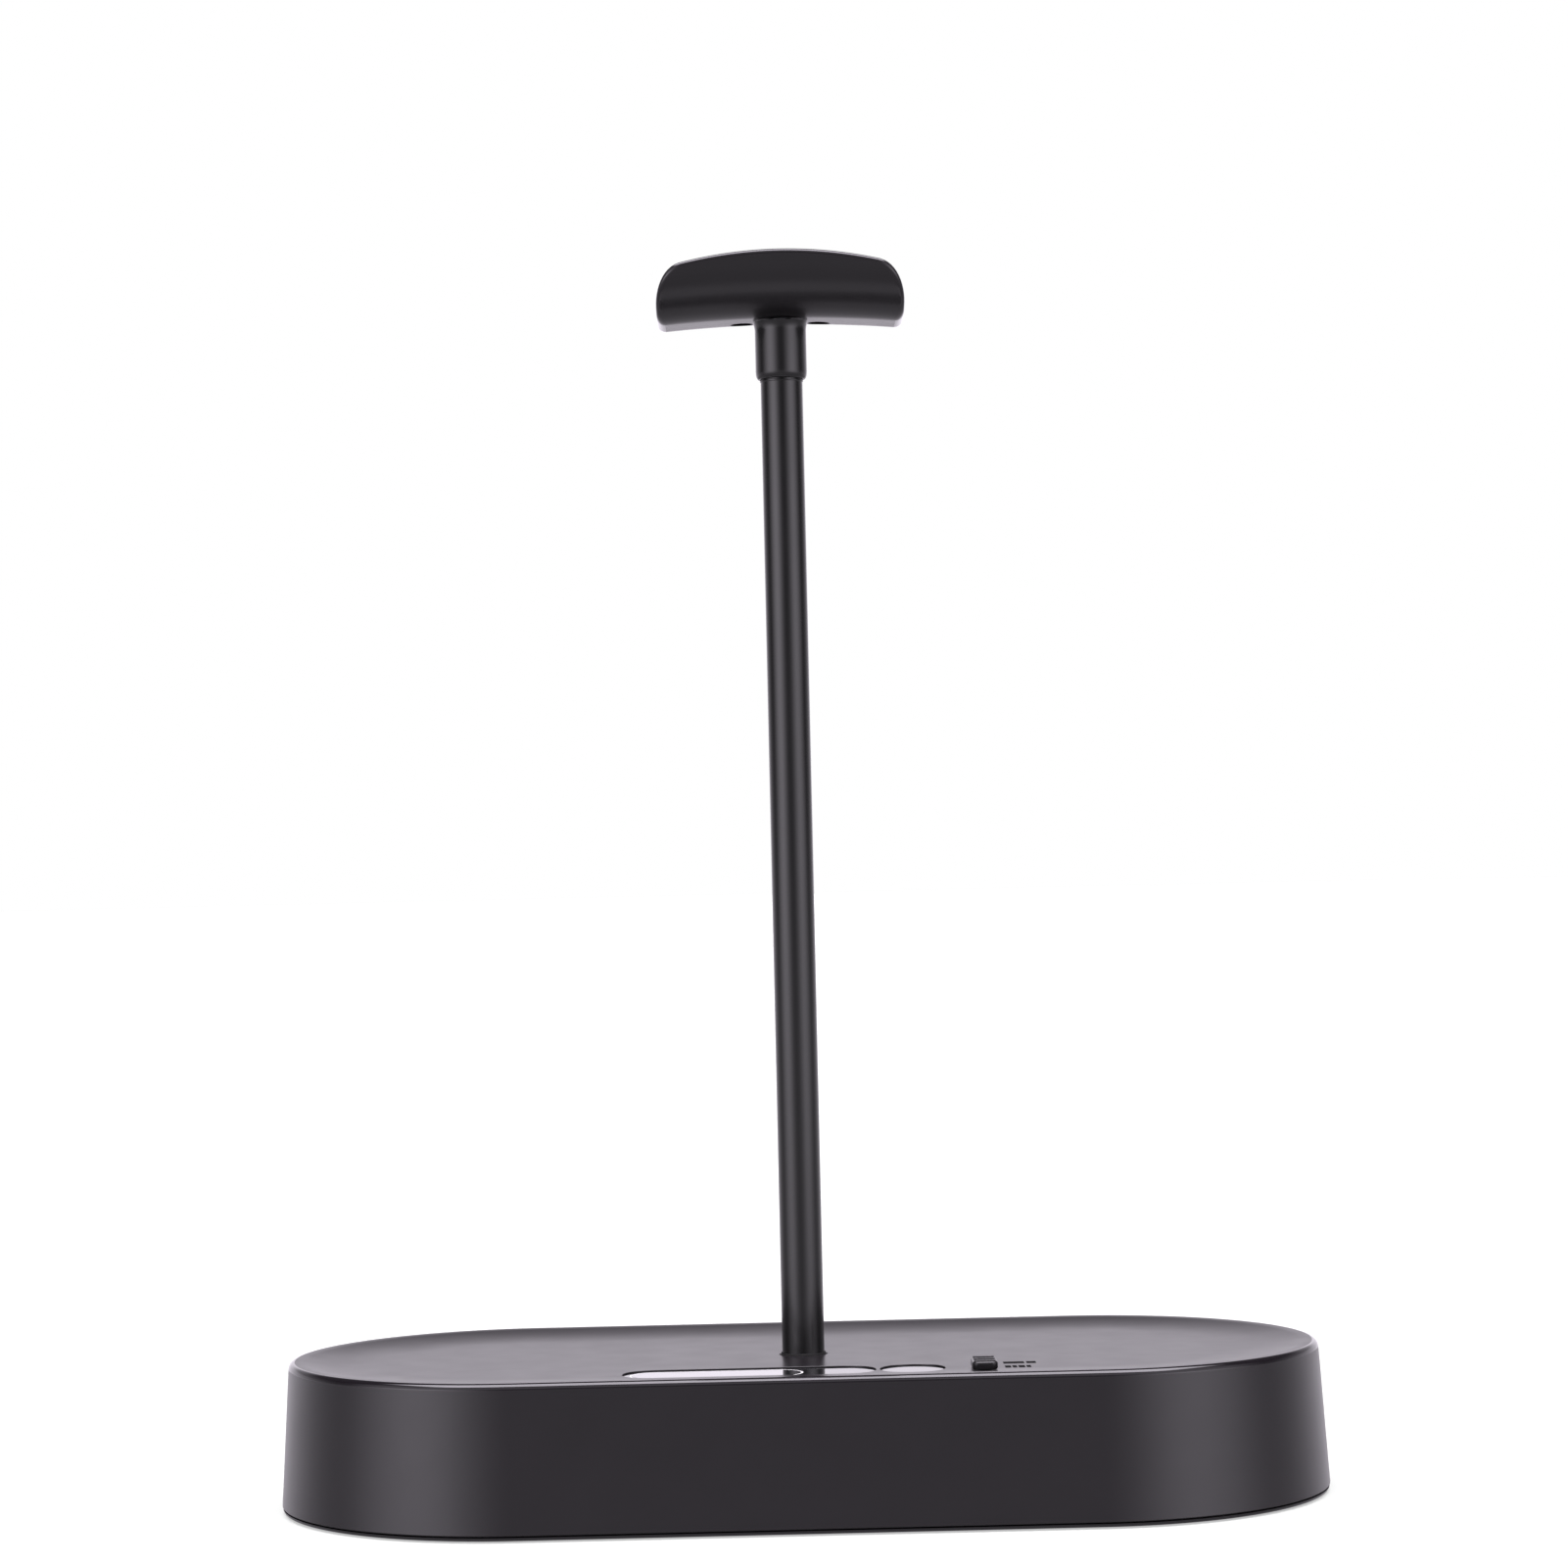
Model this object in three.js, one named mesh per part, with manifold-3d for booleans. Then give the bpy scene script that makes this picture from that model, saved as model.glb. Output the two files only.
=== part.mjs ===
// A desk headphone stand: a weighted stadium-shaped base with a dished tray and a small control strip,
// a slim upright tube, and an arched trough-shaped saddle that the headband rests in.
// Millimetres, +Z up, +Y to the rear. The origin is on the tabletop, on the tube's axis.
import * as THREE from "three";
import { mergeVertices } from "three/addons/utils/BufferGeometryUtils.js";
import Module from "manifold-3d";

const wasm = await Module();
wasm.setup();

// ---------------------------------------------------------------- driving dimensions
const BASE_LENGTH = 200;
const BASE_WIDTH = 93;
const BASE_TOP = 28.35;
const BASE_DRAFT = THREE.MathUtils.degToRad(3.5);
const FOOT_GAP = 0.3;
const WALL = 2.2;
const DECK = 2.4;
const DISH_DEPTH = 1.2;
const DISH_CURVE = 14;
const RIM_WIDTH = 2.4;
const RIM_ROUND = 1.2;
const PARTING_Z = 1.2;
const SEAM = 0.25;
const CLEARANCE = 0.15;

const TUBE_RADIUS = 4.05;
const TUBE_WALL = 1.0;
const TUBE_TOP = 220;
const TRIM_RING = { radius: 4.5, beadRadius: 4.28, bead: 0.4 };
const GROMMET_GAP = 0.15;
const COLLAR_RADIUS = 4.95;
const COLLAR_FLARE = 5.3;
const COLLAR_BOTTOM = 214.5;
const COLLAR_TOP = 225.55;

const SADDLE_BOTTOM = 225.85;
const SADDLE_HALF_LENGTH = 23.7;
const SADDLE_FLAT = 4;
const SADDLE_RADIUS = 12.5;
const SADDLE_LEAN = THREE.MathUtils.degToRad(10);
const SADDLE_SHEET = 2.2;
const SADDLE_ARCH_RADIUS = 260;
const LIP_TOP = 237.4;
const LIP_ARC_RADIUS = 82;
const LINER_THICKNESS = 1.6;
const LINER_INSET = 1.3;

const BALLAST_THICKNESS = 4;
const BOARD_TOP = 20.2;
const BOARD_THICKNESS = 1.2;

// Control strip, on the front of the tray.
const STRIP_Y = -25.8;
const RECESS = 0.25;
const PANEL = { x0: -33.9, x1: 13.2, width: 12.2, thickness: 1.3, ledge: 1.4 };
const LENS = { x0: -32.4, x1: -0.5, width: 9.2 };
const BUTTON = { x: 19.95, radius: 5.95, hole: 6.1, travel: 0.4 };
const KNOB = { x: 33.1, y: -28.2, width: 4.7, length: 7.8, height: 1.7, ribPitch: 3.1, travel: 3 };
const STEM = { width: 2.4, length: 2.2 };

// Values worked out from the driving dimensions.
const BASE_RADIUS = BASE_WIDTH / 2;
const HALF_STRAIGHT = BASE_LENGTH / 2 - BASE_RADIUS;
const FLOOR = BASE_TOP - DISH_DEPTH;
const DECK_UNDER = FLOOR - DECK;
const COVER_BOTTOM = FOOT_GAP;
const COVER_THICKNESS = 2;
const BALLAST_BOTTOM = COVER_BOTTOM + COVER_THICKNESS + 0.6;
const BALLAST_TOP = BALLAST_BOTTOM + BALLAST_THICKNESS;
const SADDLE_FLOOR = SADDLE_BOTTOM + SADDLE_SHEET;
const STRIP_TOP = FLOOR - RECESS;

// Outer radius of the base's wall at height z: it leans in towards the top.
const wallRadius = (z) => BASE_RADIUS - (z - PARTING_Z) * Math.tan(BASE_DRAFT);

// ---------------------------------------------------------------- solids
// A closed geometry as a manifold solid, turned outwards if its faces point in.
function solid(geometry) {
  const bare = geometry.clone();
  bare.deleteAttribute("normal");
  bare.deleteAttribute("uv");
  const merged = mergeVertices(bare, 1e-4);
  const kept = [];
  for (let i = 0; i < merged.index.count; i += 3) {
    const [a, b, c] = [0, 1, 2].map((k) => merged.index.getX(i + k));
    if (a !== b && b !== c && c !== a) kept.push(a, b, c);
  }
  const build = (triVerts) =>
    new wasm.Manifold(
      new wasm.Mesh({
        numProp: 3,
        vertProperties: new Float32Array(merged.attributes.position.array),
        triVerts: new Uint32Array(triVerts),
      }),
    );
  const made = build(kept);
  if (made.volume() > 0) return made;
  for (let i = 0; i < kept.length; i += 3) [kept[i], kept[i + 1]] = [kept[i + 1], kept[i]];
  return build(kept);
}

const join = (first, ...others) => others.reduce((all, one) => all.add(one), first);
const cut = (body, ...tools) => tools.reduce((left, tool) => left.subtract(tool), body);

// A manifold solid as a flat-shaded three.js geometry.
function geometryOf(made) {
  const mesh = made.getMesh();
  const indexed = new THREE.BufferGeometry();
  indexed.setAttribute("position", new THREE.BufferAttribute(mesh.vertProperties, 3));
  indexed.setIndex(new THREE.BufferAttribute(mesh.triVerts, 1));
  const flat = indexed.toNonIndexed();
  flat.computeVertexNormals();
  return flat;
}

const points2 = (pairs) => pairs.map(([x, y]) => new THREE.Vector2(x, y));

// A solid of revolution about a vertical axis at (x, y). The profile is [radius, z] pairs.
function turned(profile, x = 0, y = 0, segments = 20) {
  const geometry = new THREE.LatheGeometry(points2([...profile, profile[0]]), segments);
  geometry.rotateX(Math.PI / 2).translate(x, y, 0);
  return solid(geometry);
}

const rod = (radius, z0, z1, x = 0, y = 0, segments = 20) =>
  solid(
    new THREE.CylinderGeometry(radius, radius, z1 - z0, segments)
      .rotateX(Math.PI / 2)
      .translate(x, y, (z0 + z1) / 2),
  );

const block = (x0, x1, y0, y1, z0, z1) =>
  solid(
    new THREE.BoxGeometry(x1 - x0, y1 - y0, z1 - z0).translate(
      (x0 + x1) / 2,
      (y0 + y1) / 2,
      (z0 + z1) / 2,
    ),
  );

// A lathe profile pulled apart along X, so that its plan is a stadium: two round ends and a straight middle.
function stadium(profile, segments = 36) {
  const ring = [...profile, profile[0]];
  const halfStep = Math.PI / segments;
  const widened = ring.map(([r, z]) => [r / Math.cos(halfStep), z]);
  const geometry = new THREE.LatheGeometry(points2(widened), segments, halfStep);
  const position = geometry.attributes.position;
  for (let i = 0; i < position.count; i++) {
    const column = Math.floor(i / ring.length) % segments;
    const side = Math.sign(Math.sin(halfStep + (column * 2 * Math.PI) / segments));
    position.setX(i, position.getX(i) + side * HALF_STRAIGHT);
  }
  return solid(geometry.rotateX(Math.PI / 2));
}

// A pill-shaped plate with round ends at x0 and x1.
function pill(x0, x1, y, width, z0, z1, curveSegments = 8) {
  const r = width / 2;
  const outline = new THREE.Shape();
  outline.absarc(x1 - r, y, r, -Math.PI / 2, Math.PI / 2);
  outline.absarc(x0 + r, y, r, Math.PI / 2, (3 * Math.PI) / 2);
  const options = { depth: z1 - z0, bevelEnabled: false, curveSegments };
  return solid(new THREE.ExtrudeGeometry(outline, options).translate(0, 0, z0));
}

// Profile of a countersunk screw. Its wide face is at zFace, and shankWay is 1 where its shank points up and -1
// where it points down.
// A positive `grow` gives the hole for it instead, opened out past both ends.
function countersunkProfile({ zFace, shankWay, headRadius, headHeight, shankRadius, length }, grow = 0) {
  const at = (depth) => zFace + shankWay * depth;
  const past = grow > 0 ? 1 : 0;
  const tip = grow > 0 ? 0 : 0.4;
  return [
    [0, at(-past)],
    [headRadius + grow, at(-past)],
    [headRadius + grow, at(0.25)],
    [shankRadius + grow, at(headHeight)],
    [shankRadius + grow, at(length + past - tip)],
    [shankRadius + grow - tip, at(length + past)],
    [0, at(length + past)],
  ].filter(([r, z], i, all) => i === 0 || r !== all[i - 1][0] || z !== all[i - 1][1]);
}

function countersunkScrew(screw, x, y, segments = 14) {
  const body = turned(countersunkProfile(screw), x, y, segments);
  const { zFace, shankWay, headRadius, headHeight } = screw;
  const ends = [zFace - shankWay * 0.5, zFace + shankWay * headHeight * 0.6];
  return cut(body, rod(headRadius * 0.42, Math.min(...ends), Math.max(...ends), x, y, 6));
}

const countersunkHole = (screw, x, y, segments = 18) =>
  turned(countersunkProfile(screw, CLEARANCE * 1.6), x, y, segments);

// A pan-head screw whose head stands on zSeat; the shank goes up and the head hangs below it.
function panScrewUp({ x, y, zSeat, headRadius, headHeight, shankRadius, length }) {
  const body = join(
    rod(headRadius, zSeat - headHeight, zSeat, x, y, 14),
    rod(shankRadius, zSeat - 0.1, zSeat + length, x, y, 10),
  );
  return cut(body, rod(headRadius * 0.45, zSeat - headHeight - 0.5, zSeat - headHeight * 0.4, x, y, 6));
}

// A wafer-head screw: too thin a head for a socket.
const waferScrewUp = ({ x, y, zSeat, headRadius, headHeight, shankRadius, length }) =>
  join(
    rod(headRadius, zSeat - headHeight, zSeat, x, y, 16),
    rod(shankRadius, zSeat - 0.1, zSeat + length, x, y, 12),
  );

// ---------------------------------------------------------------- materials
const finish = (hex, roughness, metalness = 0) =>
  new THREE.MeshStandardMaterial({ color: hex, roughness, metalness });
const MATERIALS = {
  blackPlastic: finish(0x2c2a2d, 0.45),
  blackMetal: finish(0x262627, 0.35, 0.3),
  glossPanel: finish(0x0c0c0d, 0.06),
  smokedLens: finish(0x131416, 0.05),
  rubber: finish(0x1b1b1c, 0.85),
  steel: finish(0x8d9093, 0.4, 1),
  zincScrew: finish(0x9b9da0, 0.35, 1),
  blackScrew: finish(0x1d1d1f, 0.4, 0.8),
  board: finish(0x14502f, 0.5),
  chip: finish(0x161617, 0.5),
  diffuser: finish(0xe6e6e2, 0.6),
  led: finish(0xf2efd8, 0.3),
  wire: finish(0x2a2a2c, 0.6),
  connector: finish(0xe9e4d4, 0.5),
  brass: finish(0xb08d4a, 0.35, 1),
};

const stand = new THREE.Group();
stand.name = "headphone_stand";

function add(name, made, material, parent = stand) {
  const mesh = new THREE.Mesh(geometryOf(made), MATERIALS[material]);
  mesh.name = name;
  parent.add(mesh);
}

// ---------------------------------------------------------------- places shared by several pieces
const fourCorners = (x, y) => [
  ["front_left", -x, -y],
  ["front_right", x, -y],
  ["rear_left", -x, y],
  ["rear_right", x, y],
];
const FOOT_PLACES = fourCorners(70, 24);
const COVER_SCREW_PLACES = fourCorners(52, 33);
const BALLAST_SCREW_PLACES = fourCorners(62, 14);
const BOARD = { x0: -40, x1: 44, y0: -38, y1: -13 };
const BOARD_SCREW_PLACES = [
  ["front_left", BOARD.x0 + 3, BOARD.y0 + 3],
  ["front_right", BOARD.x1 - 3, BOARD.y0 + 3],
  ["rear_left", BOARD.x0 + 3, BOARD.y1 - 3],
  ["rear_right", BOARD.x1 - 3, BOARD.y1 - 3],
];
const SOCKET = { x: 0, z: 14.9, width: 8.94, height: 3.26, depth: 7.3, wall: 0.3 };
const LINER_SCREW = { x: 7.45, y: 3.4, headRadius: 1.8, counterbore: 1.3, shankRadius: 1.0 };

const COVER_SCREW = {
  zFace: FOOT_GAP,
  shankWay: 1,
  headRadius: 2.8,
  headHeight: 1.5,
  shankRadius: 1.5,
  length: 10,
};
const POST_SCREW = {
  zFace: BALLAST_BOTTOM,
  shankWay: 1,
  headRadius: 4.6,
  headHeight: 2.6,
  shankRadius: 2.5,
  length: 15,
};
const SADDLE_SCREW = {
  zFace: SADDLE_FLOOR,
  shankWay: -1,
  headRadius: 3.7,
  headHeight: 2,
  shankRadius: 2,
  length: 18,
};
const LINER_SCREW_PLACES = [
  ["left", -LINER_SCREW.x, LINER_SCREW.y],
  ["right", LINER_SCREW.x, LINER_SCREW.y],
];
const STANDOFF_PLACES = [
  ["left", -6.5, 29.5],
  ["right", 6.5, 29.5],
];
const POWER_BOARD = { x0: -10, x1: 10, y0: 26.5, y1: 42.2, z0: 11.8, z1: 13.0 };
const POST_BOTTOM = BALLAST_TOP + SEAM;
const BOSS_RADIUS = 3.4;
const BOARD_BOSS_RADIUS = 2.6;
const PILOT = 0.15;
const LEAD_RADIUS = 0.9;

// ---------------------------------------------------------------- base
// The tray: flat in the middle, then a shallow concave rise to a narrow flat rim.
function trayProfile() {
  const rimInner = wallRadius(BASE_TOP) - RIM_WIDTH;
  const flat = rimInner - DISH_CURVE;
  const steps = 5;
  const points = [[0, FLOOR]];
  for (let i = 0; i <= steps; i++) {
    const t = i / steps;
    points.push([flat + DISH_CURVE * t, FLOOR + DISH_DEPTH * t * t]);
  }
  return points;
}

function rimProfile() {
  const centre = [wallRadius(BASE_TOP) - RIM_ROUND, BASE_TOP - RIM_ROUND];
  return [Math.PI / 2, Math.PI / 4, 0].map((a) => [
    centre[0] + RIM_ROUND * Math.cos(a),
    centre[1] + RIM_ROUND * Math.sin(a),
  ]);
}

// A boss that hangs under the deck, with a pilot hole for a screw that comes from below.
const boss = (x, y, bottom, radius) => rod(radius, bottom, DECK_UNDER + 0.5, x, y, 16);
const pilotHole = (x, y, bottom, shank, depth) => rod(shank + PILOT, bottom - 1, bottom + depth, x, y, 12);

function usbOpening(grow, y0, y1) {
  const r = SOCKET.height / 2 + grow;
  const half = SOCKET.width / 2 + grow;
  const outline = new THREE.Shape();
  outline.absarc(half - r, 0, r, -Math.PI / 2, Math.PI / 2);
  outline.absarc(-half + r, 0, r, Math.PI / 2, (3 * Math.PI) / 2);
  const options = { depth: y1 - y0, bevelEnabled: false, curveSegments: 5 };
  const geometry = new THREE.ExtrudeGeometry(outline, options).rotateX(Math.PI / 2);
  return solid(geometry.translate(SOCKET.x, y1, SOCKET.z));
}

function baseShell() {
  const wallFoot = [
    [wallRadius(PARTING_Z), PARTING_Z],
    [0, PARTING_Z],
  ];
  const outer = stadium([...trayProfile(), ...rimProfile(), ...wallFoot]);
  const cavity = stadium([
    [0, DECK_UNDER],
    [wallRadius(DECK_UNDER) - WALL, DECK_UNDER],
    [wallRadius(0) - WALL, 0],
    [0, 0],
  ]);
  const bosses = [
    ...COVER_SCREW_PLACES.map(([, x, y]) => boss(x, y, BALLAST_BOTTOM - 0.3, BOSS_RADIUS)),
    ...BALLAST_SCREW_PLACES.map(([, x, y]) => boss(x, y, BALLAST_TOP + SEAM, BOSS_RADIUS)),
    ...BOARD_SCREW_PLACES.map(([, x, y]) => boss(x, y, BOARD_TOP + SEAM, BOARD_BOSS_RADIUS)),
  ];
  const pilots = [
    ...COVER_SCREW_PLACES.map(([, x, y]) => pilotHole(x, y, BALLAST_BOTTOM - 0.3, 1.5, 11)),
    ...BALLAST_SCREW_PLACES.map(([, x, y]) => pilotHole(x, y, BALLAST_TOP + SEAM, 1.5, 8)),
    ...BOARD_SCREW_PLACES.map(([, x, y]) => pilotHole(x, y, BOARD_TOP + SEAM, 1.0, 3.9)),
  ];
  const slotHalfX = STEM.width / 2 + SEAM;
  const slotFront = KNOB.y - STEM.length / 2 - SEAM;
  const slotRear = KNOB.y + STEM.length / 2 + KNOB.travel + SEAM;
  const below = DECK_UNDER - 1;
  const ledge = PANEL.ledge;
  const openings = [
    pill(PANEL.x0, PANEL.x1, STRIP_Y, PANEL.width, STRIP_TOP - PANEL.thickness - SEAM, BASE_TOP),
    pill(PANEL.x0 + ledge, PANEL.x1 - ledge, STRIP_Y, PANEL.width - 2 * ledge, below, BASE_TOP),
    rod(BUTTON.hole, below, BASE_TOP, BUTTON.x, STRIP_Y, 36),
    block(KNOB.x - slotHalfX, KNOB.x + slotHalfX, slotFront, slotRear, below, BASE_TOP),
    rod(TRIM_RING.radius + GROMMET_GAP, below, BASE_TOP, 0, 0, 32),
    usbOpening(0.35, 30, 60),
  ];
  return cut(join(cut(outer, cavity), ...bosses), ...pilots, ...openings);
}

function bottomCover() {
  const edge = wallRadius(PARTING_Z);
  const spigot = edge - WALL - SEAM - 0.1;
  const plate = stadium([
    [0, COVER_BOTTOM],
    [edge - 0.8, COVER_BOTTOM],
    [edge - 0.3, COVER_BOTTOM + 0.25],
    [edge - 0.15, PARTING_Z - SEAM],
    [spigot, PARTING_Z - SEAM],
    [spigot, COVER_BOTTOM + COVER_THICKNESS + 1.3],
    [spigot - 1.4, COVER_BOTTOM + COVER_THICKNESS + 1.3],
    [spigot - 1.4, COVER_BOTTOM + COVER_THICKNESS],
    [0, COVER_BOTTOM + COVER_THICKNESS],
  ]);
  const recesses = FOOT_PLACES.map(([, x, y]) => rod(6.2, -1, COVER_BOTTOM + 1, x, y, 18));
  const sinks = COVER_SCREW_PLACES.map(([, x, y]) => countersunkHole(COVER_SCREW, x, y));
  return cut(plate, ...recesses, ...sinks);
}

function ballastPlate() {
  const margin = 6;
  const plate = stadium(
    [
      [0, BALLAST_BOTTOM],
      [BASE_RADIUS - margin, BALLAST_BOTTOM],
      [BASE_RADIUS - margin, BALLAST_TOP],
      [0, BALLAST_TOP],
    ],
    28,
  );
  const bossHoles = COVER_SCREW_PLACES.map(([, x, y]) => rod(BOSS_RADIUS + 0.5, 0, 10, x, y, 20));
  const screwHoles = BALLAST_SCREW_PLACES.map(([, x, y]) => rod(1.9, 0, 10, x, y, 14));
  const standoffHoles = STANDOFF_PLACES.map(([, x, y]) => rod(1.35, 0, 10, x, y, 12));
  return cut(plate, ...bossHoles, ...screwHoles, ...standoffHoles, countersunkHole(POST_SCREW, 0, 0, 24));
}

function addBase() {
  add("base_shell", baseShell(), "blackPlastic");
  add("bottom_cover", bottomCover(), "blackPlastic");
  add("ballast_plate", ballastPlate(), "steel");
  for (const [place, x, y] of FOOT_PLACES) {
    const profile = [
      [0, 0],
      [5.4, 0],
      [5.9, 0.4],
      [5.9, COVER_BOTTOM + 0.9],
      [0, COVER_BOTTOM + 0.9],
    ];
    add(`foot_${place}`, turned(profile, x, y, 18), "rubber");
  }
  for (const [place, x, y] of COVER_SCREW_PLACES)
    add(`cover_screw_${place}`, countersunkScrew(COVER_SCREW, x, y), "blackScrew");
  for (const [place, x, y] of BALLAST_SCREW_PLACES) {
    const zSeat = BALLAST_BOTTOM - SEAM / 2;
    const screw = { x, y, zSeat, headRadius: 2.6, headHeight: 0.35, shankRadius: 1.5, length: 11 };
    add(`ballast_screw_${place}`, waferScrewUp(screw), "zincScrew");
  }
}

// ---------------------------------------------------------------- upright
function ring(outer, inner, z0, z1, segments = 28) {
  return turned(
    [
      [inner, z0],
      [outer, z0],
      [outer, z1],
      [inner, z1],
    ],
    0,
    0,
    segments,
  );
}

function collar() {
  const bore = TUBE_RADIUS + 0.15;
  const shoulder = TUBE_TOP + 0.3;
  const screwHole = 2.2;
  return turned(
    [
      [bore, COLLAR_BOTTOM],
      [COLLAR_RADIUS - 0.6, COLLAR_BOTTOM],
      [COLLAR_RADIUS - 0.3, COLLAR_BOTTOM + 0.35],
      [COLLAR_RADIUS - 0.08, COLLAR_BOTTOM + 1.1],
      [COLLAR_RADIUS, COLLAR_BOTTOM + 1.8],
      [COLLAR_RADIUS, COLLAR_TOP - 1.3],
      [COLLAR_FLARE, COLLAR_TOP - 0.4],
      [COLLAR_FLARE, COLLAR_TOP],
      [screwHole, COLLAR_TOP],
      [screwHole, shoulder],
      [bore, shoulder],
    ],
    0,
    0,
    28,
  );
}

function addUpright() {
  const tubeBore = TUBE_RADIUS - TUBE_WALL;
  const plug = (z0, z1, thread) => ring(tubeBore - 0.1, thread, z0, z1, 20);
  const ringBore = TUBE_RADIUS + 0.12;
  const trim = turned(
    [
      [ringBore, DECK_UNDER],
      [TRIM_RING.radius, DECK_UNDER],
      [TRIM_RING.radius, FLOOR - 0.05],
      [TRIM_RING.beadRadius, FLOOR],
      [TRIM_RING.beadRadius, FLOOR + TRIM_RING.bead],
      [ringBore, FLOOR + TRIM_RING.bead],
    ],
    0,
    0,
    28,
  );
  add("post_tube", ring(TUBE_RADIUS, tubeBore, POST_BOTTOM, TUBE_TOP), "blackMetal");
  add("post_trim_ring", trim, "rubber");
  add("post_lower_plug", plug(POST_BOTTOM + 0.1, POST_BOTTOM + 14, 2.65), "brass");
  add("post_upper_plug", plug(TUBE_TOP - 14, TUBE_TOP - 0.1, 2.15), "brass");
  add("post_bolt", countersunkScrew(POST_SCREW, 0, 0, 18), "zincScrew");
  add("collar", collar(), "blackMetal");
}

// ---------------------------------------------------------------- saddle
// A trough's cross-section in Y and Z: a flat bottom, round corners, and sides that lean out.
function troughSection(offset, thickness, top) {
  const centreZ = SADDLE_BOTTOM + SADDLE_RADIUS;
  const run = (radius, reversed) => {
    const steps = 6;
    const side = [];
    for (let i = 0; i <= steps; i++) {
      const a = SADDLE_LEAN + (i / steps) * (Math.PI / 2 - SADDLE_LEAN);
      side.push([SADDLE_FLAT + radius * Math.cos(a), centreZ - radius * Math.sin(a)]);
    }
    const [y0, z0] = side[0];
    side.unshift([y0 + (top - z0) * Math.tan(SADDLE_LEAN), top]);
    const all = [...side.map(([y, z]) => [-y, z]), ...side.reverse()];
    return reversed ? all.reverse() : all;
  };
  const outer = SADDLE_RADIUS - offset;
  return [...run(outer, false), ...run(outer - thickness, true)];
}

// The section swept along X over a long arc, so that the ends droop.
function archedTrough(offset, thickness) {
  const outline = new THREE.Shape(points2(troughSection(offset, thickness, LIP_TOP + 4)));
  const reach = SADDLE_HALF_LENGTH + 1;
  const geometry = new THREE.ExtrudeGeometry(outline, { depth: 2 * reach, steps: 10, bevelEnabled: false });
  geometry.translate(0, 0, -reach);
  const axes = [new THREE.Vector3(0, 1, 0), new THREE.Vector3(0, 0, 1), new THREE.Vector3(1, 0, 0)];
  geometry.applyMatrix4(new THREE.Matrix4().makeBasis(...axes));
  const position = geometry.attributes.position;
  for (let i = 0; i < position.count; i++) {
    const x = position.getX(i);
    position.setZ(i, position.getZ(i) - (x * x) / (2 * SADDLE_ARCH_RADIUS));
  }
  return solid(geometry);
}

// What the saddle looks like from the front: an arched top edge, wide upper corners and small lower ones.
function frontOutline(inset) {
  const half = SADDLE_HALF_LENGTH - inset;
  const top = LIP_TOP - inset;
  const shoulderX = half - 4.6;
  const shoulderZ = top - (shoulderX * shoulderX) / (2 * LIP_ARC_RADIUS);
  const bottom = SADDLE_BOTTOM - (half * half) / (2 * SADDLE_ARCH_RADIUS) - 0.25;
  const corner = 1.6;
  const outline = new THREE.Shape();
  outline.moveTo(-shoulderX, shoulderZ);
  outline.quadraticCurveTo(0, 2 * top - shoulderZ, shoulderX, shoulderZ);
  outline.bezierCurveTo(half - 1.4, shoulderZ - 0.9, half, shoulderZ - 5, half, bottom + 3);
  outline.lineTo(half, bottom + corner);
  outline.quadraticCurveTo(half, bottom, half - corner, bottom);
  outline.lineTo(-half + corner, bottom);
  outline.quadraticCurveTo(-half, bottom, -half, bottom + corner);
  outline.lineTo(-half, bottom + 3);
  outline.bezierCurveTo(-half, shoulderZ - 5, -half + 1.4, shoulderZ - 0.9, -shoulderX, shoulderZ);
  const depth = 60;
  const geometry = new THREE.ExtrudeGeometry(outline, { depth, bevelEnabled: false, curveSegments: 6 });
  return solid(geometry.rotateX(Math.PI / 2).translate(0, depth / 2, 0));
}

function addSaddle() {
  const seat = SADDLE_BOTTOM + LINER_SCREW.counterbore;
  const shell = cut(
    archedTrough(0, SADDLE_SHEET).intersect(frontOutline(0)),
    countersunkHole(SADDLE_SCREW, 0, 0, 24),
    ...LINER_SCREW_PLACES.flatMap(([, x, y]) => [
      rod(LINER_SCREW.headRadius + 0.25, SADDLE_BOTTOM - 2, seat, x, y, 20),
      rod(LINER_SCREW.shankRadius + 0.2, SADDLE_BOTTOM - 2, SADDLE_FLOOR + 1, x, y, 12),
    ]),
  );
  add("saddle_shell", shell, "blackPlastic");

  const linerOffset = SADDLE_SHEET + SEAM;
  const liner = cut(
    archedTrough(linerOffset, LINER_THICKNESS).intersect(frontOutline(LINER_INSET)),
    ...LINER_SCREW_PLACES.map(([, x, y]) =>
      rod(LINER_SCREW.shankRadius + 0.2, SADDLE_BOTTOM, SADDLE_FLOOR + 1.35, x, y, 12),
    ),
  );
  add("saddle_liner", liner, "rubber");

  add("saddle_bolt", countersunkScrew(SADDLE_SCREW, 0, 0, 18), "zincScrew");
  for (const [side, x, y] of LINER_SCREW_PLACES) {
    const screw = {
      x,
      y,
      zSeat: seat - 0.1,
      headRadius: LINER_SCREW.headRadius,
      headHeight: 0.55,
      shankRadius: LINER_SCREW.shankRadius,
      length: 1.9,
    };
    add(`liner_screw_${side}`, panScrewUp(screw), "blackScrew");
  }
}

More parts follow.
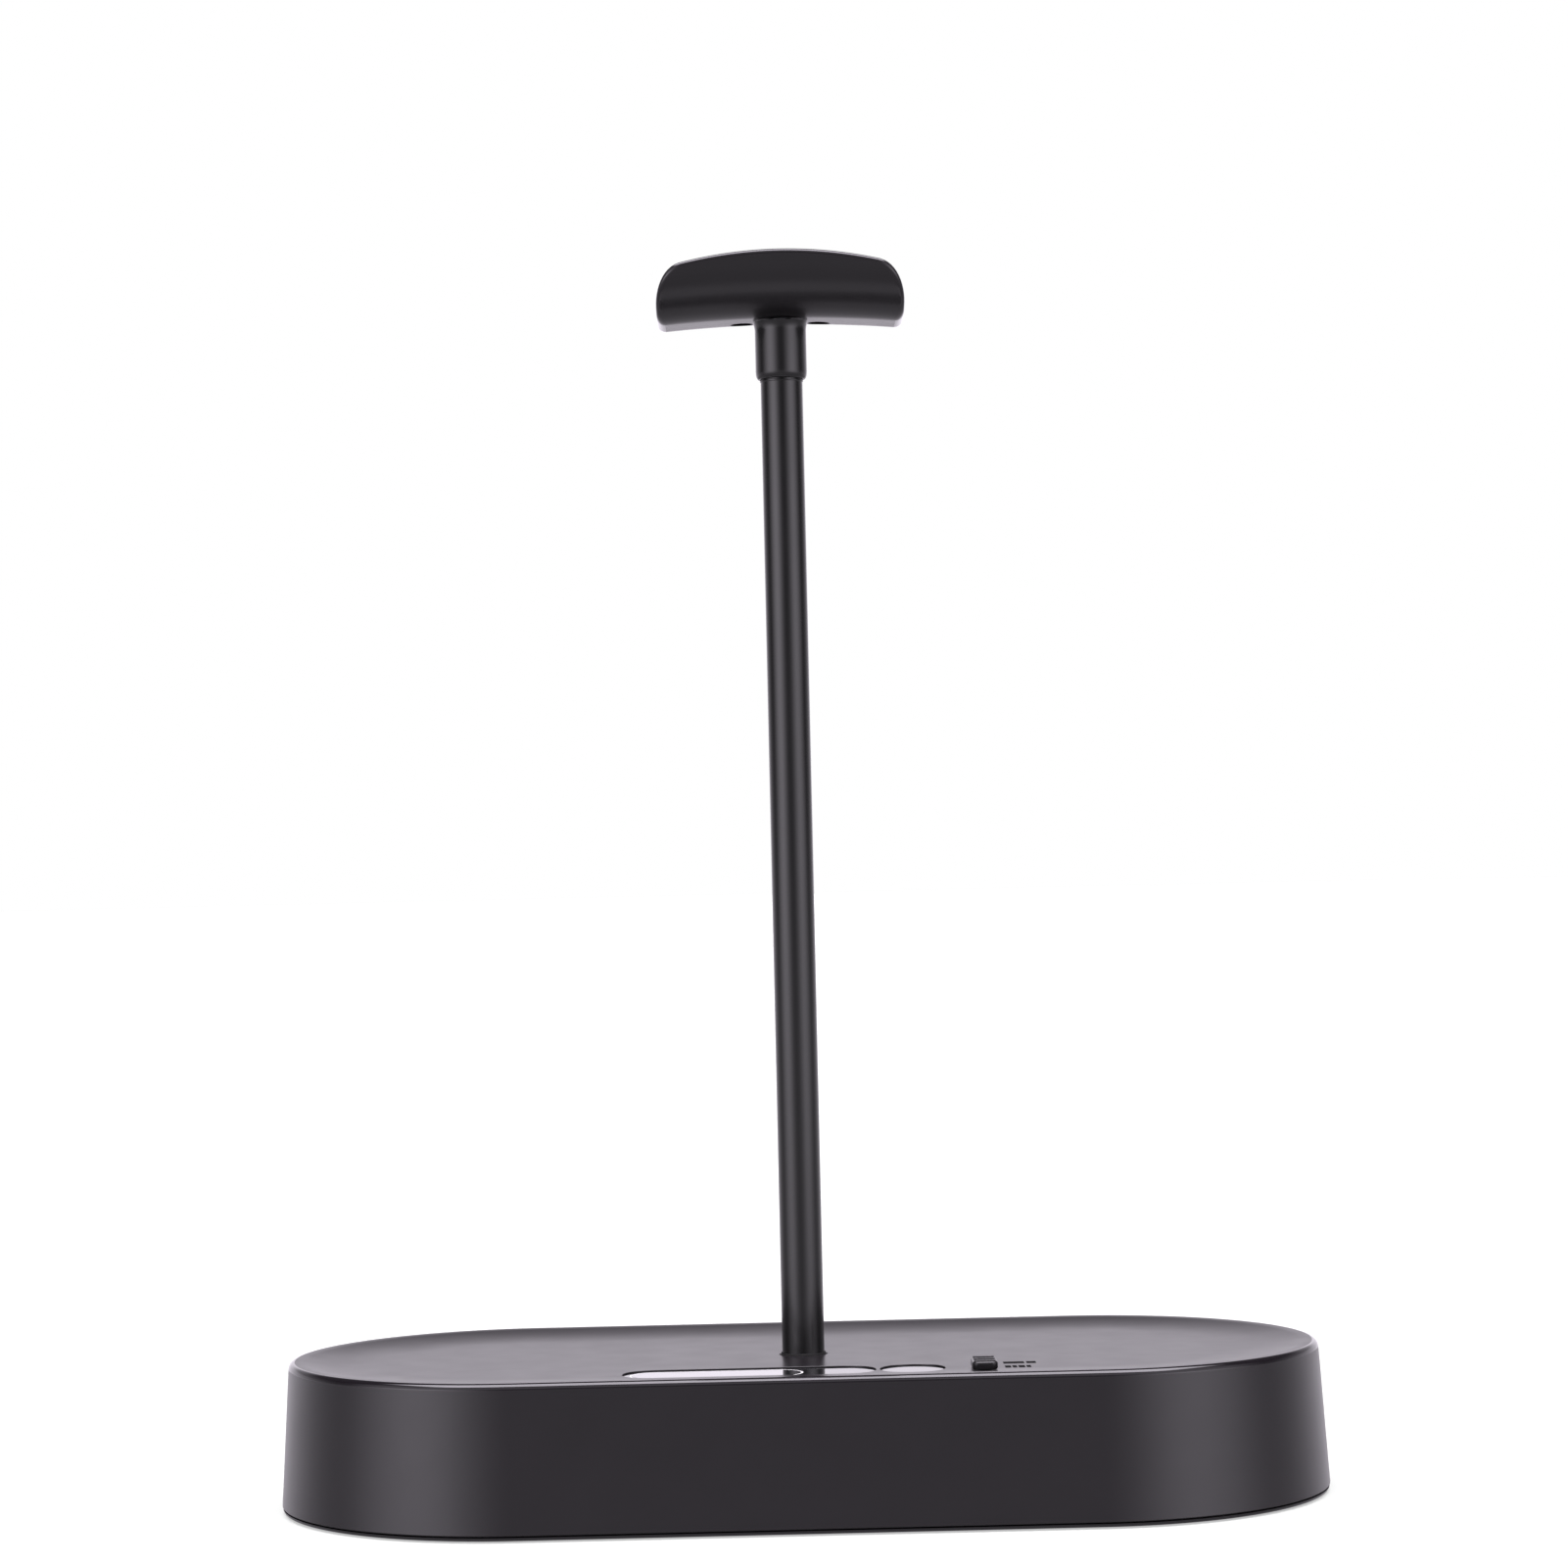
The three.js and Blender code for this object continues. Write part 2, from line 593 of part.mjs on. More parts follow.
// ---------------------------------------------------------------- control strip
function addControlStrip() {
  const gap = CLEARANCE;
  const panelBottom = STRIP_TOP - PANEL.thickness;
  const panel = cut(
    pill(PANEL.x0 + gap, PANEL.x1 - gap, STRIP_Y, PANEL.width - 2 * gap, panelBottom, STRIP_TOP, 12),
    pill(LENS.x0 - gap, LENS.x1 + gap, STRIP_Y, LENS.width + 2 * gap, panelBottom - 1, STRIP_TOP + 1, 12),
  );
  add("indicator_panel", panel, "glossPanel");
  const lens = pill(LENS.x0, LENS.x1, STRIP_Y, LENS.width, panelBottom + 0.1, STRIP_TOP, 12);
  add("display_lens", lens, "smokedLens");
  const diffuserTop = panelBottom - SEAM;
  const diffuser = pill(LENS.x0 + 1, LENS.x1 - 1, STRIP_Y, 7, BOARD_TOP + 1.6, diffuserTop);
  add("light_diffuser", diffuser, "diffuser");

  const ledCount = 5;
  const ledPitch = (LENS.x1 - LENS.x0 - 8) / (ledCount - 1);
  for (let i = 0; i < ledCount; i++) {
    const x = LENS.x0 + 4 + i * ledPitch;
    const led = block(x - 1, x + 1, STRIP_Y - 0.6, STRIP_Y + 0.6, BOARD_TOP + gap, BOARD_TOP + 0.9);
    add(`status_led_${i + 1}`, led, "led");
  }

  const capTop = STRIP_TOP;
  const flangeTop = DECK_UNDER - SEAM;
  const cap = turned(
    [
      [0, flangeTop - 0.8],
      [6.9, flangeTop - 0.8],
      [6.9, flangeTop],
      [BUTTON.radius, flangeTop],
      [BUTTON.radius, capTop - 0.3],
      [BUTTON.radius - 0.3, capTop],
      [0, capTop],
    ],
    BUTTON.x,
    STRIP_Y,
    36,
  );
  add("button_cap", cap, "glossPanel");
  const tactTop = flangeTop - 1.7;
  const well = { radius: 1.85, floor: tactTop - 1.3 };
  const tactBody = cut(
    block(BUTTON.x - 3, BUTTON.x + 3, STRIP_Y - 3, STRIP_Y + 3, BOARD_TOP + gap, tactTop),
    rod(well.radius, well.floor, tactTop + 1, BUTTON.x, STRIP_Y, 16),
  );
  add("tact_switch_body", tactBody, "chip");
  const plunger = rod(1.65, well.floor + BUTTON.travel + 0.2, flangeTop - 0.9, BUTTON.x, STRIP_Y, 16);
  add("tact_switch_plunger", plunger, "connector");
}

// The slide switch: a ribbed knob on the tray, whose stem reaches the switch on the board through a slot.
function addSlideSwitch() {
  const gap = CLEARANCE;
  const knobBottom = FLOOR + 0.2;
  const knobTop = knobBottom + KNOB.height;
  const outline = new THREE.Shape();
  const [w, l, r] = [KNOB.width / 2, KNOB.length / 2, 1.1];
  outline.absarc(w - r, l - r, r, 0, Math.PI / 2);
  outline.absarc(-w + r, l - r, r, Math.PI / 2, Math.PI);
  outline.absarc(-w + r, -l + r, r, Math.PI, 1.5 * Math.PI);
  outline.absarc(w - r, -l + r, r, 1.5 * Math.PI, 2 * Math.PI);
  const bevel = 0.35;
  const body = solid(
    new THREE.ExtrudeGeometry(outline, {
      depth: KNOB.height - 0.25 - bevel,
      bevelThickness: bevel,
      bevelSize: bevel,
      bevelOffset: -bevel,
      bevelSegments: 2,
      curveSegments: 3,
    }).translate(KNOB.x, KNOB.y, knobBottom),
  );
  const ribs = [-1, 0, 1].map((i) => {
    const y = KNOB.y + i * KNOB.ribPitch;
    return block(KNOB.x - 1.9, KNOB.x + 1.9, y - 0.3, y + 0.3, knobTop - 0.6, knobTop);
  });
  const stemBottom = BOARD_TOP + 3.9;
  const stem = block(
    KNOB.x - STEM.width / 2,
    KNOB.x + STEM.width / 2,
    KNOB.y - STEM.length / 2,
    KNOB.y + STEM.length / 2,
    stemBottom,
    knobBottom + 0.3,
  );
  const pocket = { halfX: 0.75, halfY: 0.75, top: stemBottom + 1.6 };
  const socket = block(
    KNOB.x - pocket.halfX,
    KNOB.x + pocket.halfX,
    KNOB.y - pocket.halfY,
    KNOB.y + pocket.halfY,
    stemBottom - 1,
    pocket.top,
  );
  const above = block(KNOB.x - 5, KNOB.x + 5, KNOB.y - 9, KNOB.y + 9, knobBottom, knobTop + 5);
  const head = join(body, ...ribs).intersect(above);
  add("switch_knob", cut(join(head, stem), socket), "blackPlastic");

  const midY = KNOB.y + KNOB.travel / 2;
  const switchTop = BOARD_TOP + 3.4;
  const slotHalf = KNOB.travel / 2 + 1.5;
  const switchBody = cut(
    block(KNOB.x - 2.1, KNOB.x + 2.1, midY - 4.2, midY + 4.2, BOARD_TOP + gap, switchTop),
    block(KNOB.x - 1.2, KNOB.x + 1.2, midY - slotHalf, midY + slotHalf, BOARD_TOP + 1.6, switchTop + 1),
  );
  add("slide_switch_body", switchBody, "steel");
  const lever = join(
    block(KNOB.x - 0.95, KNOB.x + 0.95, KNOB.y - 1.2, KNOB.y + 1.2, BOARD_TOP + 1.8, switchTop + 0.1),
    block(KNOB.x - 0.6, KNOB.x + 0.6, KNOB.y - 0.6, KNOB.y + 0.6, switchTop, pocket.top - 0.2),
  );
  add("slide_switch_lever", lever, "chip");
}

// ---------------------------------------------------------------- electronics
function controlBoard() {
  const plate = block(BOARD.x0, BOARD.x1, BOARD.y0, BOARD.y1, BOARD_TOP - BOARD_THICKNESS, BOARD_TOP);
  const holes = BOARD_SCREW_PLACES.map(([, x, y]) => rod(1.15, 0, 30, x, y, 12));
  return cut(plate, ...holes);
}

function addElectronics() {
  add("control_board", controlBoard(), "board");
  for (const [place, x, y] of BOARD_SCREW_PLACES) {
    const zSeat = BOARD_TOP - BOARD_THICKNESS - 0.1;
    const screw = { x, y, zSeat, headRadius: 1.9, headHeight: 1.3, shankRadius: 1.0, length: 5 };
    add(`board_screw_${place}`, panScrewUp(screw), "zincScrew");
  }
  const boardUnder = BOARD_TOP - BOARD_THICKNESS;
  add("controller_chip", block(-6, 1, -31, -24, boardUnder - 1.2, boardUnder - CLEARANCE), "chip");

  const p = POWER_BOARD;
  const powerBoard = cut(
    block(p.x0, p.x1, p.y0, p.y1, p.z0, p.z1),
    ...STANDOFF_PLACES.map(([, x, y]) => rod(1.4, 0, 30, x, y, 12)),
  );
  add("power_board", powerBoard, "board");
  for (const [side, x, y] of STANDOFF_PLACES) {
    const hexagon = rod(2.2, BALLAST_TOP + 0.1, p.z0 - 0.1, x, y, 6);
    const stud = rod(1.2, BALLAST_BOTTOM + 0.5, BALLAST_TOP + 0.5, x, y, 12);
    const standoff = cut(join(hexagon, stud), rod(1.15, p.z0 - 3.5, p.z0 + 1, x, y, 12));
    add(`standoff_${side}`, standoff, "brass");
    const head = rod(2.2, p.z1 + 0.1, p.z1 + 1.3, x, y, 16);
    const shank = rod(1.0, p.z0 - 2.8, p.z1 + 0.3, x, y, 12);
    add(`power_board_screw_${side}`, join(head, shank), "zincScrew");
  }

  const mouthY = wallRadius(SOCKET.z) - 0.15;
  const bodyY = mouthY - SOCKET.depth;
  const shell = cut(usbOpening(0, bodyY, mouthY), usbOpening(-SOCKET.wall, bodyY + 0.6, mouthY + 1));
  add("usb_socket_shell", shell, "steel");
  const tongueHalf = SOCKET.width / 2 - 1.1;
  const tongue = block(
    SOCKET.x - tongueHalf,
    SOCKET.x + tongueHalf,
    bodyY + 0.75,
    mouthY - 0.8,
    SOCKET.z - 0.35,
    SOCKET.z + 0.35,
  );
  add("usb_socket_tongue", tongue, "chip");

  const rearPlug = { x: 7, y: 33.2, z: p.z1 + CLEARANCE };
  const frontPlug = { x: 30, y: -16, z: boardUnder - CLEARANCE };
  const rearBody = block(rearPlug.x - 2, rearPlug.x + 2, 32, 34.6, rearPlug.z, rearPlug.z + 3);
  const frontBody = block(frontPlug.x - 2, frontPlug.x + 2, -18, -14, frontPlug.z - 3, frontPlug.z);
  add("lead_plug_rear", rearBody, "connector");
  add("lead_plug_front", frontBody, "connector");
  const leadZ = rearPlug.z + 1.5;
  const route = new THREE.CatmullRomCurve3(
    [
      [rearPlug.x + 2.4, rearPlug.y, leadZ],
      [rearPlug.x + 6, rearPlug.y - 0.4, leadZ - 0.4],
      [20, 28, 12.2],
      [28, 16, 9.4],
      [31, 4, 8.6],
      [31, -5, 11],
      [30.4, -9, 15.4],
      [30, -11.8, frontPlug.z - 1.6],
      [30, -13.6, frontPlug.z - 1.5],
    ].map((point) => new THREE.Vector3(...point)),
  );
  const section = new THREE.Shape().absarc(0, 0, LEAD_RADIUS, 0, 2 * Math.PI);
  const lead = new THREE.ExtrudeGeometry(section, { steps: 26, extrudePath: route, curveSegments: 4 });
  add("board_lead", solid(lead), "wire");
}

addBase();
addUpright();
addSaddle();
addControlStrip();
addSlideSwitch();
addElectronics();

export default stand;
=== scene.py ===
"""The looks of a desk headphone stand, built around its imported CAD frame.

The meshes are made in millimetres, in the frame's own axes, and scaled to metres once they are whole.
"""

import math

import bmesh
import bpy
from mathutils import Matrix, Vector


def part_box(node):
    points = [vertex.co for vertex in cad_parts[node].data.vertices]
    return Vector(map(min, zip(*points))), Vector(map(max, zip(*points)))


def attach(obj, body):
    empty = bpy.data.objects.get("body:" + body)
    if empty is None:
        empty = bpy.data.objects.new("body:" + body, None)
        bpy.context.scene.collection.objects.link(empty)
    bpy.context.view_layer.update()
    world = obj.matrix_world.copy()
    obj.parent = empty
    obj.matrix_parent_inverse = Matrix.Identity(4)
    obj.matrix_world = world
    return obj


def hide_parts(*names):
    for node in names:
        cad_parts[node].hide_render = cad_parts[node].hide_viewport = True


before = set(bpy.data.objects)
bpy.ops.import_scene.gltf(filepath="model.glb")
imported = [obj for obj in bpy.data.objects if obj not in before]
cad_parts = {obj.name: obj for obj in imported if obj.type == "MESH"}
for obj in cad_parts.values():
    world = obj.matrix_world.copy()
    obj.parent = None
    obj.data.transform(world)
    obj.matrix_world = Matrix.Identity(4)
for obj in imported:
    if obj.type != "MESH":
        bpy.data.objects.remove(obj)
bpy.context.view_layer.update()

MM = 0.001
TURN = 2 * math.pi
QUARTER = math.pi / 2


# ---------------------------------------------------------------- places, from the frame
def box_mm(node):
    """Lowest and highest corner of a CAD node, in millimetres."""
    low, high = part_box(node)
    return low / MM, high / MM


SHELL_LOW, SHELL_HIGH = box_mm("base_shell")
BASE_RADIUS = SHELL_HIGH.y
HALF_STRAIGHT = SHELL_HIGH.x - BASE_RADIUS
PARTING_Z = SHELL_LOW.z
BASE_TOP = SHELL_HIGH.z

COVER_LOW, COVER_HIGH = box_mm("bottom_cover")
TUBE_LOW, TUBE_HIGH = box_mm("post_tube")
RING_LOW, RING_HIGH = box_mm("post_trim_ring")
COLLAR_LOW, COLLAR_HIGH = box_mm("collar")
SADDLE_LOW, SADDLE_HIGH = box_mm("saddle_shell")
PANEL_LOW, PANEL_HIGH = box_mm("indicator_panel")
LENS_LOW, LENS_HIGH = box_mm("display_lens")
CAP_LOW, CAP_HIGH = box_mm("button_cap")
KNOB_LOW, KNOB_HIGH = box_mm("switch_knob")
SOCKET_LOW, SOCKET_HIGH = box_mm("usb_socket_shell")
TONGUE_LOW, TONGUE_HIGH = box_mm("usb_socket_tongue")

# ---------------------------------------------------------------- sizes, in millimetres
BASE_DRAFT = math.radians(3.5)
WALL = 2.2
DISH_DEPTH = 1.2
DISH_CURVE = 14
RIM_WIDTH = 2.4
RIM_ROUND = 1.2
DECK = 2.4
FLOOR = BASE_TOP - DISH_DEPTH
DECK_UNDER = FLOOR - DECK
EDGE_CHAMFER = 0.05
GAP = 0.15

TUBE_RADIUS = TUBE_HIGH.x
TUBE_BORE = TUBE_RADIUS - 1.0

SADDLE_BOTTOM = COLLAR_HIGH.z + 0.3
SADDLE_HALF_LENGTH = SADDLE_HIGH.x
SADDLE_FLAT = 4
SADDLE_RADIUS = 12.5
SADDLE_LEAN = math.radians(10)
SADDLE_SHEET = 2.2
SADDLE_ARCH_RADIUS = 260
LIP_TOP = SADDLE_HIGH.z
LIP_ARC_RADIUS = 82
LINER_GAP = 0.25
LINER_THICKNESS = 1.6
LINER_INSET = 1.3

STRIP_Y = (PANEL_LOW.y + PANEL_HIGH.y) / 2
PANEL_LEDGE = 1.4
BUTTON_X = (CAP_LOW.x + CAP_HIGH.x) / 2
BUTTON_RADIUS = 5.95
BUTTON_HOLE = 6.1
KNOB_X = (KNOB_LOW.x + KNOB_HIGH.x) / 2
KNOB_Y = (KNOB_LOW.y + KNOB_HIGH.y) / 2
KNOB_BASE = FLOOR + 0.2
KNOB_TRAVEL = 3
STEM_HALF_X = 1.2
STEM_HALF_Y = 1.1
CORNERS = ("front_left", "front_right", "rear_left", "rear_right")


def wall_radius(z):
    """Outer radius of the base's wall at height z: it leans in towards the top."""
    return BASE_RADIUS - (z - PARTING_Z) * math.tan(BASE_DRAFT)


def middle(node):
    """The plan centre of a CAD node, in millimetres."""
    low, high = box_mm(node)
    return (low.x + high.x) / 2, (low.y + high.y) / 2


# ---------------------------------------------------------------- outlines and lofts
def circle(x=0.0, y=0.0, segments=96):
    """An outline maker: the points of a circle of any radius about (x, y)."""
    angles = [TURN * i / segments for i in range(segments)]
    return lambda radius: [(x + radius * math.cos(a), y + radius * math.sin(a)) for a in angles]


def pill(x0, x1, y=0.0, segments=48):
    """An outline maker: half circles of any radius about (x0, y) and (x1, y), joined by straight sides."""
    ends = [(x1, -QUARTER), (x0, QUARTER)]
    steps = [math.pi * i / segments for i in range(segments + 1)]
    return lambda radius: [
        (x + radius * math.cos(start + a), y + radius * math.sin(start + a))
        for x, start in ends
        for a in steps
    ]


def rounded_box(x, y, half_x, half_y, corner, segments=8):
    """An outline maker: a rectangle with round corners, grown by any amount."""
    quarters = [(1, -1, -QUARTER), (1, 1, 0.0), (-1, 1, QUARTER), (-1, -1, math.pi)]
    steps = [QUARTER * i / segments for i in range(segments + 1)]

    def outline(grow):
        radius = max(corner + grow, 0.05)
        inner_x = half_x + grow - radius
        inner_y = half_y + grow - radius
        return [
            (
                x + sx * inner_x + radius * math.cos(start + a),
                y + sy * inner_y + radius * math.sin(start + a),
            )
            for sx, sy, start in quarters
            for a in steps
        ]

    return outline


def arc(r, z, radius, start, end, steps=8):
    """Profile points on an arc about (r, z), from one angle to another, in degrees."""
    angles = [math.radians(start + (end - start) * i / steps) for i in range(steps + 1)]
    return [(r + radius * math.cos(a), z + radius * math.sin(a)) for a in angles]


def loft(profile, outline, closed=False):
    """A solid whose level at each profile point (size, z) is the outline of that size."""
    made = bmesh.new()
    rings = [[made.verts.new((x, y, z)) for x, y in outline(size)] for size, z in profile]
    pairs = list(zip(rings, rings[1:]))
    if closed:
        pairs.append((rings[-1], rings[0]))
    else:
        made.faces.new(rings[0])
        made.faces.new(rings[-1])
    for lower, upper in pairs:
        for i in range(len(lower)):
            made.faces.new((lower[i - 1], lower[i], upper[i], upper[i - 1]))
    bmesh.ops.recalc_face_normals(made, faces=made.faces)
    return made


def turned_on_side(made, centre):
    """A loft made along Z, turned so that its length lies along Y, with its own origin put at centre."""
    bmesh.ops.rotate(made, verts=made.verts, matrix=Matrix.Rotation(-QUARTER, 3, "X"))
    bmesh.ops.translate(made, verts=made.verts, vec=centre)
    return made


# ---------------------------------------------------------------- pieces
def as_object(name, made):
    """A new object in the scene, with the mesh that was made."""
    mesh = bpy.data.meshes.new(name)
    made.to_mesh(mesh)
    made.free()
    thing = bpy.data.objects.new(name, mesh)
    bpy.context.scene.collection.objects.link(thing)
    return thing


def carve(body, tools, operation):
    """Cuts the tools out of body, or joins them to it, and removes them."""
    things = [as_object("tool", tool) for tool in tools]
    for thing in things:
        boolean = body.modifiers.new("boolean", "BOOLEAN")
        boolean.operation = operation
        boolean.solver = "EXACT"
        boolean.object = thing
    graph = bpy.context.evaluated_depsgraph_get()
    whole = bpy.data.meshes.new_from_object(body.evaluated_get(graph))
    body.modifiers.clear()
    body.data = whole
    for thing in things:
        bpy.data.objects.remove(thing)


def piece(name, made, materials, nodes=(), body="stand", cuts=(), joins=(), sharp=25):
    """A finished piece: carved, in metres, shaded, riding on its body, in place of its CAD nodes."""
    thing = as_object(name, made)
    for material in materials:
        thing.data.materials.append(material)
    if joins:
        carve(thing, joins, "UNION")
    if cuts:
        carve(thing, cuts, "DIFFERENCE")
    mesh = thing.data
    mesh.name = name
    mesh.transform(Matrix.Scale(MM, 4))
    mesh.polygons.foreach_set("use_smooth", [True] * len(mesh.polygons))
    mesh.set_sharp_from_angle(angle=math.radians(sharp))
    weighted = thing.modifiers.new("weighted_normal", "WEIGHTED_NORMAL")
    weighted.keep_sharp = True
    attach(thing, body)
    if nodes:
        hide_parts(*nodes)
    return thing


# ---------------------------------------------------------------- materials
def principled(name, colour, roughness, metallic=0.0):
    """A new material with its shader's constants set, and its node tree."""
    material = bpy.data.materials.new(name)
    material.use_nodes = True
    shader = material.node_tree.nodes["Principled BSDF"]
    shader.inputs["Base Color"].default_value = (*colour, 1)
    shader.inputs["Roughness"].default_value = roughness
    shader.inputs["Metallic"].default_value = metallic
    return material, shader


def noise(material, scale, detail=4.0, stretch=(1, 1, 1)):
    """A noise in the piece's own coordinates. Scale is in features a metre."""
    nodes = material.node_tree.nodes
    links = material.node_tree.links
    coordinates = nodes.new("ShaderNodeTexCoord")
    mapping = nodes.new("ShaderNodeMapping")
    mapping.inputs["Scale"].default_value = stretch
    texture = nodes.new("ShaderNodeTexNoise")
    texture.inputs["Scale"].default_value = scale
    texture.inputs["Detail"].default_value = detail
    links.new(coordinates.outputs["Object"], mapping.inputs["Vector"])
    links.new(mapping.outputs["Vector"], texture.inputs["Vector"])
    return texture.outputs["Fac"]


def scaled(colour, share):
    """A lighter or darker shade of a colour."""
    return [channel * share for channel in colour]


def vary_colour(material, shader, source, dark, light):
    """Base colour that runs from dark to light with the source."""
    ramp = material.node_tree.nodes.new("ShaderNodeValToRGB")
    ramp.color_ramp.elements[0].position = 0.3
    ramp.color_ramp.elements[1].position = 0.7
    ramp.color_ramp.elements[0].color = (*dark, 1)
    ramp.color_ramp.elements[1].color = (*light, 1)
    material.node_tree.links.new(source, ramp.inputs["Fac"])
    material.node_tree.links.new(ramp.outputs["Color"], shader.inputs["Base Color"])


def vary_roughness(material, shader, source, low, high):
    """Roughness that runs from low to high with the source."""
    span = material.node_tree.nodes.new("ShaderNodeMapRange")
    span.inputs["From Min"].default_value = 0.3
    span.inputs["From Max"].default_value = 0.7
    span.inputs["To Min"].default_value = low
    span.inputs["To Max"].default_value = high
    material.node_tree.links.new(source, span.inputs["Value"])
    material.node_tree.links.new(span.outputs["Result"], shader.inputs["Roughness"])


def add_bump(material, shader, source, height, strength=1.0):
    """Surface relief of that height, in metres."""
    bump = material.node_tree.nodes.new("ShaderNodeBump")
    bump.inputs["Strength"].default_value = strength
    bump.inputs["Distance"].default_value = height
    material.node_tree.links.new(source, bump.inputs["Height"])
    material.node_tree.links.new(bump.outputs["Normal"], shader.inputs["Normal"])


def satin_plastic(name, colour, roughness):
    """Moulded plastic with a fine spark texture and a faint mottle."""
    material, shader = principled(name, colour, roughness)
    vary_colour(material, shader, noise(material, 90), scaled(colour, 0.94), scaled(colour, 1.06))
    vary_roughness(material, shader, noise(material, 140, 2), roughness - 0.01, roughness + 0.01)
    add_bump(material, shader, noise(material, 3200, 2), 0.000001)
    return material


def coated_metal(name, colour, roughness):
    """Black-coated tube: the coat hides the metal, and a fine drawn grain runs along it."""
    material, shader = principled(name, colour, roughness)
    drawn = noise(material, 900, 3, stretch=(1, 1, 0.04))
    vary_colour(material, shader, drawn, scaled(colour, 0.88), scaled(colour, 1.12))
    vary_roughness(material, shader, noise(material, 160, 2), roughness - 0.01, roughness + 0.015)
    add_bump(material, shader, noise(material, 3600, 2), 0.0000008)
    return material


def gloss_plastic(name, colour):
    """Polished black plastic, with the slight waviness of a moulded face."""
    material, shader = principled(name, colour, 0.06)
    vary_roughness(material, shader, noise(material, 300), 0.045, 0.075)
    vary_colour(material, shader, noise(material, 60), scaled(colour, 0.85), scaled(colour, 1.15))
    add_bump(material, shader, noise(material, 70, 1), 0.000002)
    return material


def rubber(name, colour, roughness, pores):
    """Matt rubber: pores of that many a metre, and a slow change of shade."""
    material, shader = principled(name, colour, roughness)
    shader.inputs["Specular IOR Level"].default_value = 0.35
    vary_colour(material, shader, noise(material, 130), scaled(colour, 0.8), scaled(colour, 1.25))
    vary_roughness(material, shader, noise(material, 500), roughness - 0.06, roughness + 0.05)
    add_bump(material, shader, noise(material, pores, 5), 0.00003)
    return material


def plated_metal(name, colour, roughness):
    """Bare or plated metal with fine marks."""
    material, shader = principled(name, colour, roughness, 1.0)
    vary_colour(material, shader, noise(material, 220), scaled(colour, 0.85), colour)
    vary_roughness(material, shader, noise(material, 700), roughness - 0.06, roughness + 0.08)
    add_bump(material, shader, noise(material, 2600, 3), 0.000006)
    return material


def flecked(name, colour, roughness, scale):
    """A plain board, chip, print or moulding with a fleck of that many a metre."""
    material, shader = principled(name, colour, roughness)
    vary_colour(material, shader, noise(material, scale), scaled(colour, 0.75), scaled(colour, 1.2))
    vary_roughness(material, shader, noise(material, scale * 2), roughness - 0.05, roughness + 0.08)
    add_bump(material, shader, noise(material, scale * 4, 2), 0.000005)
    return material


def ink(name, colour):
    """Matt printing ink: it mirrors almost nothing, with a fleck where it lies thin."""
    material, shader = principled(name, colour, 0.95)
    shader.inputs["Specular IOR Level"].default_value = 0.08
    vary_colour(material, shader, noise(material, 1800), scaled(colour, 0.7), scaled(colour, 1.5))
    vary_roughness(material, shader, noise(material, 2400), 0.9, 1.0)
    return material


def smoked_window(name):
    """A dark acrylic window: a deep tint under a polished face."""
    material, shader = principled(name, (0.006, 0.006, 0.007), 0.05)
    shader.inputs["Coat Weight"].default_value = 0.5
    shader.inputs["Coat Roughness"].default_value = 0.03
    vary_colour(material, shader, noise(material, 40), (0.004, 0.004, 0.005), (0.009, 0.009, 0.011))
    vary_roughness(material, shader, noise(material, 260), 0.035, 0.06)
    return material


def lamp_gel(name, colour):
    """A lamp's yellow-white gel, unlit."""
    material, shader = principled(name, colour, 0.35)
    vary_colour(material, shader, noise(material, 1500), scaled(colour, 0.8), colour)
    return material


HOUSING = satin_plastic("housing_plastic", (0.0078, 0.0066, 0.0080), 0.3)
EDGE = satin_plastic("housing_edge", (0.0078, 0.0066, 0.0080), 0.06)
SADDLE = satin_plastic("saddle_plastic", (0.0078, 0.007, 0.0079), 0.24)
TRIM = satin_plastic("trim_plastic", (0.008, 0.0075, 0.0085), 0.3)
TUBE = coated_metal("tube_coat", (0.006, 0.006, 0.006), 0.19)
GLOSS = gloss_plastic("panel_gloss", (0.006, 0.006, 0.0065))
WINDOW = smoked_window("window_smoke")
FOOT_RUBBER = rubber("foot_rubber", (0.018, 0.018, 0.019), 0.75, 1800)
LINER = rubber("liner_silicone", (0.02, 0.02, 0.021), 0.62, 1300)
RING_RUBBER = rubber("ring_rubber", (0.008, 0.008, 0.008), 0.6, 2200)
STEEL = plated_metal("ballast_steel", (0.48, 0.49, 0.5), 0.42)
ZINC = plated_metal("screw_zinc", (0.6, 0.61, 0.63), 0.3)
BLACK_STEEL = plated_metal("screw_black", (0.035, 0.035, 0.038), 0.36)
BRASS = plated_metal("insert_brass", (0.6, 0.43, 0.18), 0.32)
SOCKET_STEEL = plated_metal("socket_steel", (0.66, 0.66, 0.68), 0.26)
BOARD = flecked("board_green", (0.02, 0.12, 0.045), 0.45, 400)
CHIP = flecked("chip_black", (0.02, 0.02, 0.021), 0.55, 1200)
WHITE_NYLON = flecked("nylon_white", (0.75, 0.72, 0.64), 0.5, 800)
DIFFUSER = flecked("diffuser_milk", (0.78, 0.78, 0.76), 0.6, 900)
LEAD = flecked("lead_jacket", (0.03, 0.03, 0.032), 0.6, 1500)
PRINT = ink("legend_print", (0.004, 0.004, 0.004))
LAMP = lamp_gel("lamp_gel", (0.9, 0.87, 0.62))
LIGHT_GUIDE = flecked("light_guide", (0.8, 0.8, 0.78), 0.35, 900)


# ---------------------------------------------------------------- base
def flared(size, bottom, top=FLOOR, chamfer=EDGE_CHAMFER):
    """Profile of a cutter that leaves a chamfer where it comes out of a face at height top."""
    clear = 1.0
    return [(size, bottom), (size, top - chamfer), (size + chamfer + clear, top + clear)]


